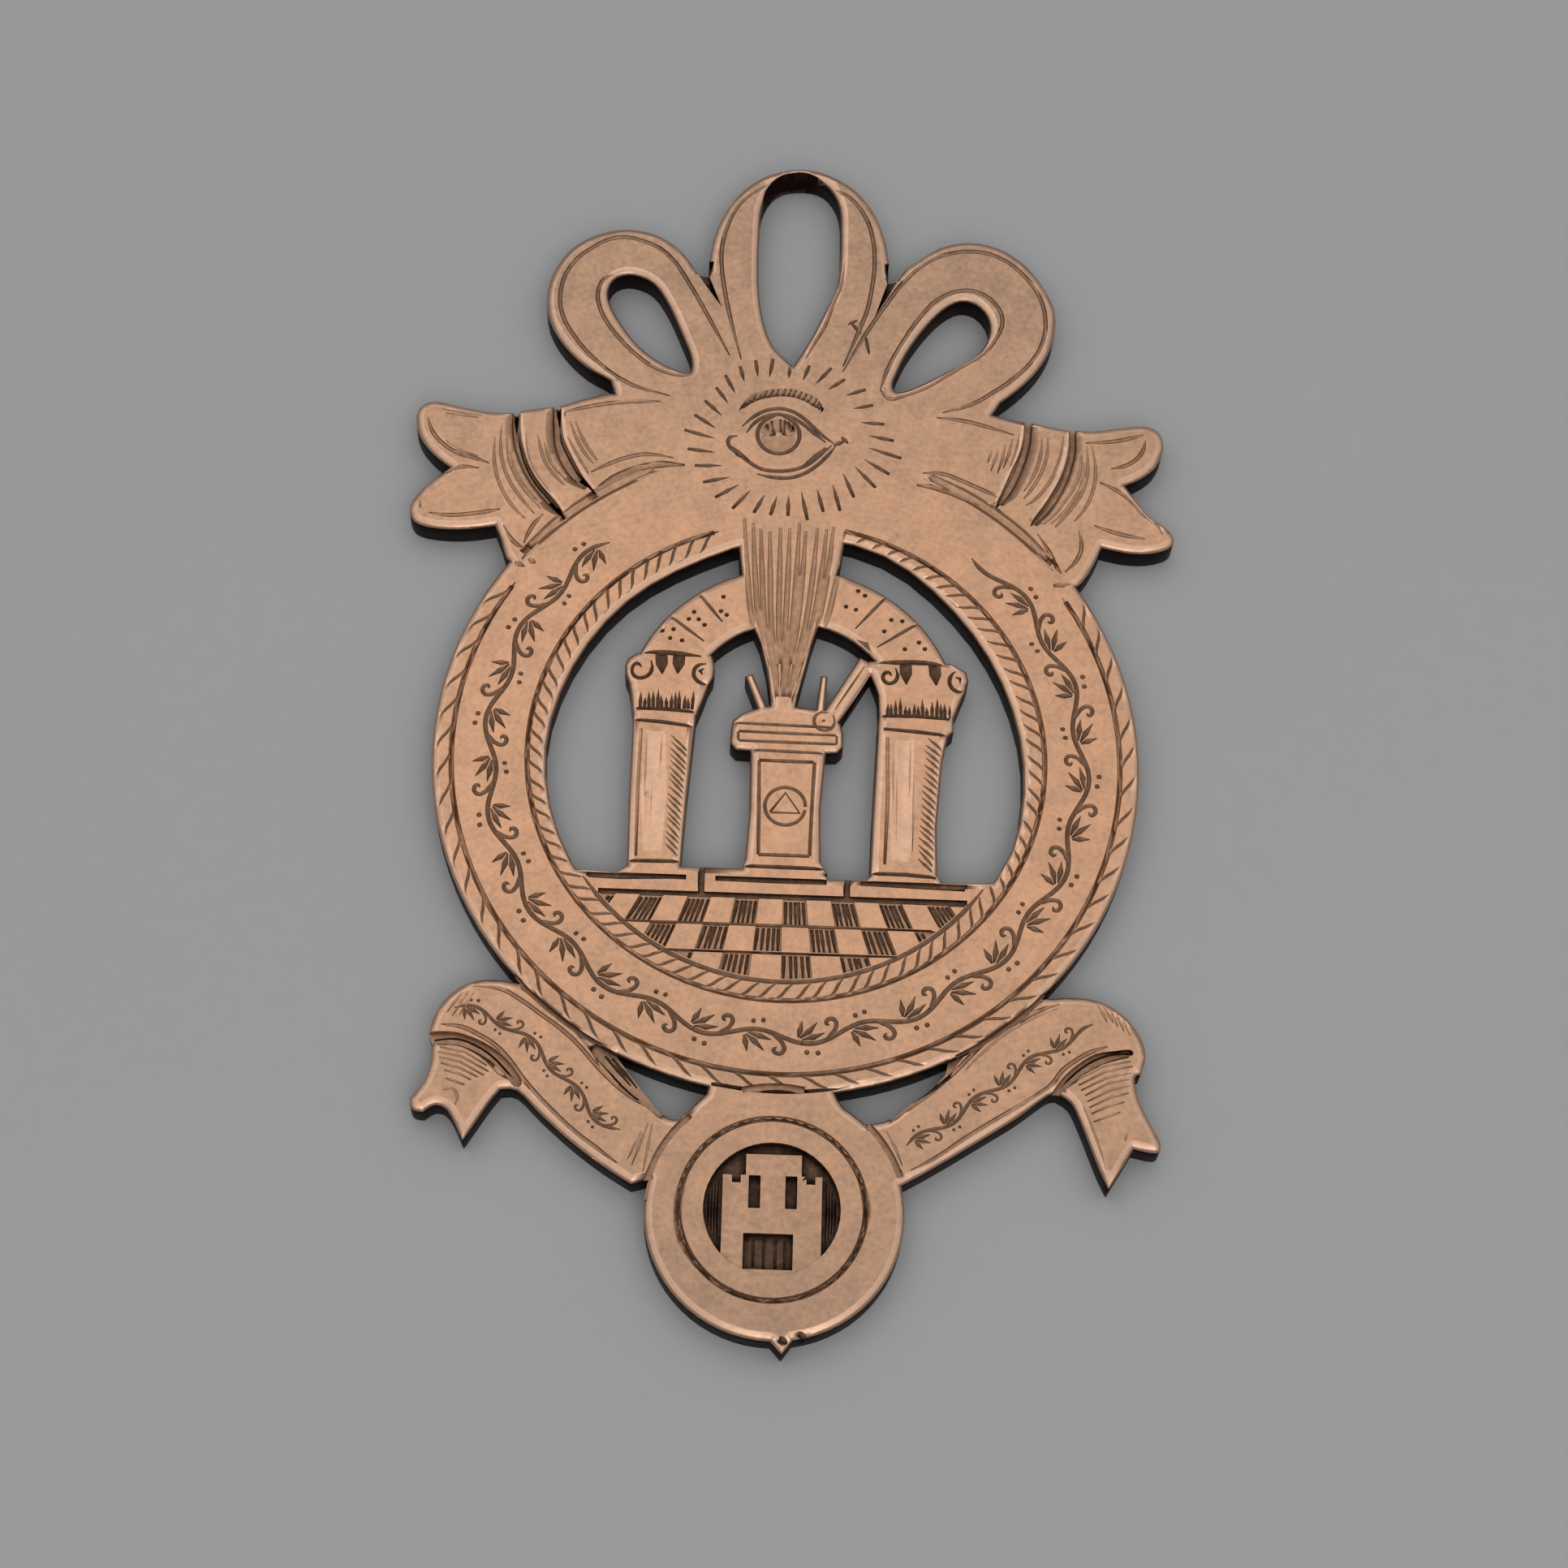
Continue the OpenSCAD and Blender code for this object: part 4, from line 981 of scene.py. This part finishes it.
altar = {
    "slab": [[(-2.7, 1.7), (2.2, 1.62)], [(-2.4, 1.25), (2.45, 1.2)], [(-2.4, 0.75), (2.45, 0.72)],
             [(-2.45, 1.22), (-2.42, 0.78)], [(2.5, 1.18), (2.48, 0.74)], [(-2.6, 0.28), (2.5, 0.2)]],
    "panel": [[(-1.35, -0.28), (1.35, -0.3)], [(-1.35, -0.3), (-1.25, -5.3)], [(1.4, -0.3), (1.25, -5.3)],
              [(-1.25, -5.3), (1.25, -5.3)]],
    "circle": [arc(1, 0, 350, (0, -2.7), 20)],
    "triangle": [[(-0.75, -3.05), (0, -1.98), (0.72, -3.05), (-0.75, -3.05)]],
    "button": [arc(0.52, 60, 400, (1.85, 1.97), 30), [(1.70, 1.94), (1.90, 2.01)]],
    "foot": [[(-2.15, -5.92), (2.05, -5.95)]],
    "toolLines": [[(-1.1, 2.5), (-1.85, 4)], [(1.6, 2.7), (1.75, 4.2)], [(2.35, 2.6), (3.9, 5.2)]],
    "gravers": [
        ("slab", 0.18, 0.09, (0.8, 0.8)),
        ("panel", 0.20, 0.1, (0.9, 0.9)),
        ("circle", 0.18, 0.09, (0.9, 0.9)),
        ("triangle", 0.15, 0.075, (0.9, 0.9), "graved", 0.0, False),
        ("button", 0.17, 0.085),
        ("foot", 0.22, 0.11, (0.9, 0.9), "deep"),
        ("toolLines", 0.12, 0.06, (0.3, 0.2)),
    ],
}

steps = {
    "lines": [[(-9.5, -6.7), (-8, -6.72), (-4.85, -6.62)], [(-3.3, -6.66), (2.1, -6.68)],
              [(3.8, -6.66), (6.4, -6.7), (8.9, -6.78)]],
    "joints": [[(-4.1, -6.1), (-4.05, -7.5)], [(3.02, -6.45), (3.05, -7.5)]],
    "foot": [[(-9, -7.5), (-2, -7.5), (4.5, -7.52), (8.9, -7.6)]],
    "rows": [[(-7.9, -8.98), (0, -8.98), (7.3, -9)], [(-6, -10.4), (0, -10.42), (5.6, -10.4)]],
    "top": -7.6, "tile": 1.16, "tileHeight": 1.4, "tileRows": 3, "tilesAside": 5,
    "hatch": (0.11, 0.31, 0.5, 0.69, 0.89),  # places of the strokes across a dark tile
    "spread": 1.1,  # each row of tiles is wider by this
    "gaps": (0.08, 0.1),  # above and below the strokes of a tile
    "reach": 11.72,  # radius at which the strokes end beside the rope
    "shortest": 0.2,  # share of a tile that a stroke has to reach
    "uneven": 0.03,
    "gravers": [
        ("lines", 0.26, 0.18, (0.8, 0.8), "deep"),
        ("joints", 0.2, 0.1, (0.8, 0.8)),
        ("foot", 0.24, 0.14, (0.8, 0.8)),
        ("rows", 0.15, 0.1, (0.8, 0.8)),
        ("pavement", 0.19, 0.13, (0.9, 0.5), "graved", 0.16),
    ],
}


def pavementStrokes():
    above, below = steps["gaps"]
    strokes = []
    for row in range(steps["tileRows"]):
        width = steps["tile"] * steps["spread"] ** row
        top = steps["top"] - row * steps["tileHeight"]
        low = top - steps["tileHeight"] + below
        start = top - above
        for i in range(-steps["tilesAside"], steps["tilesAside"] + 1):
            for share in steps["hatch"]:
                x = (2 * i + row % 2 + share + jitter(steps["uneven"])) * width
                away = math.hypot(x, start)
                reach = (steps["reach"] - away) / (math.hypot(steps["spread"] * x, low) - away)
                reach = min(1.0, reach)
                if reach > steps["shortest"]:
                    strokes.append([(x, start), (x + 0.1 * x * reach, start + (low - top + above) * reach)])
    return strokes


steps["pavement"] = pavementStrokes()

scrolls = {
    "contours": [
        [(-14.8, -12.6), (-13.5, -12.7), (-12.5, -13.2), (-11.5, -13.9), (-10.5, -14.6), (-9.5, -15.5),
         (-8.7, -16.4), (-8, -17.1), (-7, -17.9), (-6, -18.5)],
        [(-16.2, -14.6), (-15.2, -14.7), (-14.3, -15.1), (-13.5, -15.6), (-12.8, -16.3), (-12.2, -17.1),
         (-11.5, -17.9), (-10.6, -18.8), (-9.6, -19.7), (-8.5, -20.5), (-7.5, -21.2)],
        [(13.5, -12.5), (12.5, -12.9), (11.3, -13.6), (10.2, -14.3), (9.3, -15.2), (8.3, -16.3),
         (7.3, -17.1), (6, -17.8), (5, -18.3)],
        [(15.8, -14.6), (15, -14.9), (14.2, -15.4), (13.6, -15.9), (13.1, -16.6), (12.2, -17.3),
         (10.5, -18.4), (9, -19.4), (7.5, -20.5), (6.4, -21.1)],
    ],
    "hairs": [
        [(-12.9, -12.4), (-11.8, -13.1), (-10.6, -14), (-9.6, -14.9), (-9, -15.6), (-8.3, -16.6),
         (-7.2, -17.6)],
        [(13.4, -12.75), (12, -13.4), (10.8, -14.2), (9.9, -15), (9, -16)],
        [(-15, -12.9), (-15.7, -14.2)], [(-14.7, -12.9), (-15.35, -14.1)], [(-15.3, -12.95), (-15.95, -14)],
        [(-6.1, -19.2), (-6.8, -21.3)], [(-6.4, -19.6), (-7, -21)], [(-5.9, -19.2), (-6.25, -21.6)],
        [(15.4, -12.5), (15.8, -13.4)], [(15.7, -12.6), (16.1, -13.4)], [(16, -12.7), (16.3, -13.6)],
        [(16.3, -13), (16.6, -13.8)], [(16.6, -13.2), (16.9, -14)],
        [(16.7, -18.9), (16.6, -19.3)], [(4.3, -19.1), (5, -19.7), (5.6, -20.7), (6.2, -21.5)],
        [(5.2, -19.2), (5.65, -20), (6, -20.9)], [(14.6, -17.6), (15.2, -19.2), (15.7, -20.8)],
        [(-15.9, -17.9), (-15.5, -17.8), (-15.2, -18.2), (-15.3, -18.6)],
    ],
    "endHatch": [
        [(-16.2, -15.75), (-15, -15.95), (-13.9, -16.6)], [(-16.3, -15.98), (-15.1, -16.2), (-13.8, -16.9)],
        [(-16.2, -16.25), (-15.2, -16.45), (-14, -17.1)],
        [(-16.1, -16.55), (-15.2, -16.75), (-14.3, -17.2)],
        [(-15.9, -16.9), (-15.2, -17.05), (-14.6, -17.35)], [(-15.8, -17.3), (-14.9, -17.6)],
        [(14.2, -16.4), (15.6, -15.6), (16.9, -15.3)], [(14.4, -16.6), (15.7, -15.85), (17, -15.55)],
        [(14.5, -16.85), (15.8, -16.15), (17.1, -15.85)], [(14.7, -17.1), (15.8, -16.45), (17, -16.15)],
        [(14.8, -17.4), (15.9, -16.8), (16.9, -16.5)], [(14.9, -17.7), (15.9, -17.15), (16.8, -16.9)],
        [(15, -18), (15.8, -17.6), (16.6, -17.35)], [(15.1, -18.4), (16.4, -17.85)],
    ],
    # the slope that falls to each turn, and its darkest line, painted shade in a cut groove
    "slopes": [[(-16.4, -15.5), (-15.4, -15.42), (-14.6, -15.7), (-13.9, -16.15), (-13.2, -16.85),
                (-12.8, -17.25)],
               [(16.8, -14.95), (16.2, -15.05), (15.4, -15.35), (14.7, -15.8), (14.1, -16.3),
                (13.7, -16.8)]],
    "turns": [[(-16.5, -15.3), (-15.4, -15.2), (-14.5, -15.5), (-13.7, -16), (-12.9, -16.8),
               (-12.5, -17.2)],
              [(17, -14.8), (16.2, -14.85), (15.4, -15.1), (14.6, -15.6), (13.95, -16.2), (13.5, -16.7)]],
    "gapHatch": [[(-8.75, -15.9), (-8, -16.7), (-7.2, -17.5), (-6.6, -17.9)],
                 [(-8.3, -15.75), (-7.7, -16.4), (-7, -17.2)],
                 [(-7.95, -15.85), (-7.3, -16.6), (-6.7, -17.3)],
                 [(8.6, -15.85), (7.6, -16.75), (6.6, -17.4), (5.6, -18.1)],
                 [(7.9, -16.2), (7, -16.95), (6.1, -17.5)]],
    "leftPath": [(-15.6, -13.75), (-12.9, -14.6), (-10.9, -16.4), (-9, -18.4), (-7.5, -19.7)],
    "rightPath": [(6.2, -19.9), (8.6, -18.2), (10.9, -16.6), (12.9, -14.9), (15.2, -13.7)],
    "vineHeight": 0.62, "vineWave": 3.3,
    "gravers": [
        ("slopes", 0.5, 0.14, (0.8, 0.3), "sunk"),
        ("turns", 0.22, 0.3, (0.9, 0.4), "graved", 0.25),
        ("contours", 0.23, 0.11, (0.3, 0.3), "fine"),
        ("hairs", 0.15, 0.075, (0.3, 0.3), "sunk"),
        ("endHatch", 0.14, 0.06, (0.6, 0.6), "fine"),
        ("gapHatch", 0.2, 0.12, (0.6, 0.3), "graved", 0.6),
    ],
    "vineGravers": {
        "stem": (0.18, 0.09),
        "leaves": (0.22, 0.1, (0.25, 0.12)),
        "tendrils": (0.13, 0.065),
        "dots": (0.18, 0.09, (0.5, 0.5)),
    },
}


def pathPlace(points):
    # a smooth path through a few points, as a function of the way along it and across it
    path = np.array(points, float)
    fine = np.linspace(0, len(path) - 1, 80)
    run = np.stack([np.polyval(np.polyfit(np.arange(len(path)), line, 3), fine) for line in path.T], 1)
    ways = np.concatenate([[0], np.cumsum(np.hypot(*np.diff(run, axis=0).T))])

    def spotAt(along):
        return np.array([np.interp(along, ways, run[:, i]) for i in (0, 1)])

    def place(along, across):
        way = spotAt(along + 0.1) - spotAt(along - 0.1)
        way = way / np.hypot(*way)
        return tuple(spotAt(along) + across * np.array([-way[1], way[0]]))

    return place, ways[-1]


for side in ("left", "right"):
    drawn = vineStrokes(*pathPlace(scrolls[side + "Path"]), scrolls["vineHeight"], scrolls["vineWave"])
    for name, strokes in drawn.items():
        scrolls[side + name] = strokes
        scrolls["gravers"].append((side + name, *scrolls["vineGravers"][name]))

roundel = {
    "middle": (-0.12, -23.20),
    "line": circle(4.42, (-0.12, -23.20)),
    "shades": [[(3.9, -21.4), (4.25, -22.4), (4.35, -23.4), (4.15, -24.6)],
               [(-4, -21.2), (-4.45, -22.4), (-4.55, -23.6), (-4.3, -24.9), (-3.6, -26.2)]],
    "field": 3.25,  # radius of the sunk field
    # the strokes beside the gatehouse: first place, gap, number, and their length in the field
    "crescent": (2.55, 0.14, 4, 0.8),
    "bars": [[(-0.95, -24.55), (-0.95, -25.9)], [(-0.45, -24.5), (-0.45, -26.1)],
             [(0.1, -24.55), (0.1, -26.15)], [(0.55, -24.6), (0.55, -26)]],
    "chips": [[(1.5, -21), (1.85, -21.45)], [(1.3, -21.75), (1.75, -21.35)]],
    "pits": [[(1.25, -29.15), (1.75, -29.45)], [(0.35, -29.45), (0.75, -29.6)]],
    "gravers": [
        ("shades", 0.42, 0.07, (0.1, 0.1), "sunk"),
        ("line", 0.30, 0.15, (0.9, 0.9), "fine"),
        ("crescents", 0.13, 0.08, (0.3, 0.3), "deep", 0.5),
        ("bars", 0.16, 0.1, (0.9, 0.9), "graved", 0.5),
        ("chips", 0.3, 0.2, (0.7, 0.4)),
        ("pits", 0.45, 0.35, (0.8, 0.6)),
    ],
}


def crescentStrokes():
    # short strokes on the floor of the sunk field, beside the gatehouse
    cx, cy = roundel["middle"]
    first, gap, count, length = roundel["crescent"]
    strokes = []
    for side in (-1, 1):
        for i in range(count):
            x = side * (first + gap * i)
            reach = length * math.sqrt((roundel["field"] - 0.12) ** 2 - x * x)
            strokes.append([(cx + x, cy + reach), (cx + x + 0.03 * side, cy), (cx + x, cy - reach)])
    return strokes


roundel["crescents"] = crescentStrokes()


def finishJewel(jewel):
    selectOnly(jewel)
    bpy.ops.object.mode_set(mode="EDIT")
    bpy.ops.mesh.select_all(action="SELECT")
    bpy.ops.mesh.quads_convert_to_tris(quad_method="BEAUTY", ngon_method="BEAUTY")
    bpy.ops.mesh.remove_doubles(threshold=plate["merge"])
    bpy.ops.mesh.dissolve_degenerate(threshold=plate["merge"])
    bpy.ops.object.mode_set(mode="OBJECT")
    jewel.location = (0, ringY * mm, 0)
    jewel.scale = (mm, mm, mm)
    bpy.ops.object.transform_apply(location=True, rotation=False, scale=True)
    bpy.ops.object.shade_smooth_by_angle(angle=math.radians(plate["smooth"]))
    for face in jewel.data.polygons:
        face.use_smooth = abs(face.normal.z) < 0.99
    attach(jewel, "root")
    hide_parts(plate["node"])


studio = {
    "floorSize": 3,
    "floorGap": 0.02,  # millimetres between the floor and the back of the plate
    "floorColour": (0.382, 0.384, 0.391),
    "floorRange": (0.86, 1.14),  # darkest and lightest spots of the floor
    "clouds": (40.0, 4.0, 0.12),  # scale, detail and strength of two patterns on the floor
    "specks": (900.0, 3.0, 0.10),
    "world": 0.80,
    "lowSky": (0.20, 0.205, 0.215, 1),  # the room near the table is darker than the ceiling
    "highSky": (1.0, 1.0, 1.0, 1),
    "skyRange": (0.25, 0.72),
    # place from the middle of the jewel, side length, watts, colour
    "lamps": {
        "north_softbox": ((-0.06, 0.24, 0.50), 0.40, 0.20, (1.0, 0.99, 0.97)),
        "south_softbox": ((0.05, -0.26, 0.36), 0.26, 0.30, (1.0, 0.98, 0.96)),
    },
}


def makeStudio():
    bpy.ops.mesh.primitive_plane_add(size=studio["floorSize"], location=(0, 0, -studio["floorGap"] * mm))
    floor = bpy.context.object
    floor.name = "floor"
    material, wire = newMaterial("pale_mat")
    spot = wire.node("ShaderNodeTexCoord", {}, {}, "Object")
    tone = 0.5
    for scale, detail, strength in (studio["clouds"], studio["specks"]):
        noise = wire.node("ShaderNodeTexNoise", {}, {"Vector": spot, "Scale": scale, "Detail": detail})
        tone = tone + strength * (noise - 0.5)
    dark, light = [tuple(share * c for c in studio["floorColour"]) + (1,) for share in studio["floorRange"]]
    closeMaterial(wire, {"Base Color": wire.blend(tone.clamped(), dark, light), "Roughness": 0.75})
    floor.data.materials.append(material)
    world = bpy.data.worlds.new("studio")
    bpy.context.scene.world = world
    world.use_nodes = True
    world.node_tree.nodes.clear()
    sky = Wire(world.node_tree)
    rise = sky.node("ShaderNodeTexCoord", {}, {}, "Generated")
    rise = sky.node("ShaderNodeSeparateXYZ", {}, {"Vector": rise}, "Z")
    low, high = studio["skyRange"]
    rise = sky.node("ShaderNodeValToRGB", {"stops": [(low, 0), (high, 1)]}, {0: rise})
    colour = sky.blend(rise, studio["lowSky"], studio["highSky"])
    shade = sky.node("ShaderNodeBackground", {}, {"Color": colour, "Strength": studio["world"]})
    sky.node("ShaderNodeOutputWorld", {}, {"Surface": shade})
    for name, (place, size, watts, colour) in studio["lamps"].items():
        bpy.ops.object.light_add(type="AREA", location=place)
        lamp = bpy.context.object
        lamp.name = name
        lamp.data.size = size
        lamp.data.energy = watts
        lamp.data.color = colour
        lamp.rotation_euler = (-lamp.location).to_track_quat("-Z", "Y").to_euler()
    bpy.context.scene.view_settings.view_transform = "Standard"


makeCamera(photoView)
makeStudio()
materials = {name: copperMaterial(name + "_copper", finishAndShade) for name, finishAndShade in finishesAndShades.items()}
print("camera, studio and materials ready")

jewel = copyPlate()
markCuts(jewel)
roundRims(jewel)
print("rims rounded")
for piece, name in ((bow, "bow and ribbon"), (eye, "eye"), (sheaf, "sheaf of rays"), (ring, "ring"),
                    (arch, "arch"), (capitals, "capitals"), (shafts, "columns"), (altar, "altar"),
                    (steps, "steps and floor"), (scrolls, "scrolls"), (roundel, "roundel")):
    for strokes, *settings in piece["gravers"]:
        engrave(jewel, piece[strokes], *settings)
    print(name, "engraved")
finishJewel(jewel)
triangles = sum(len(face.vertices) - 2 for face in jewel.data.polygons)
print("jewel:", len(jewel.data.vertices), "points,", triangles, "triangles")
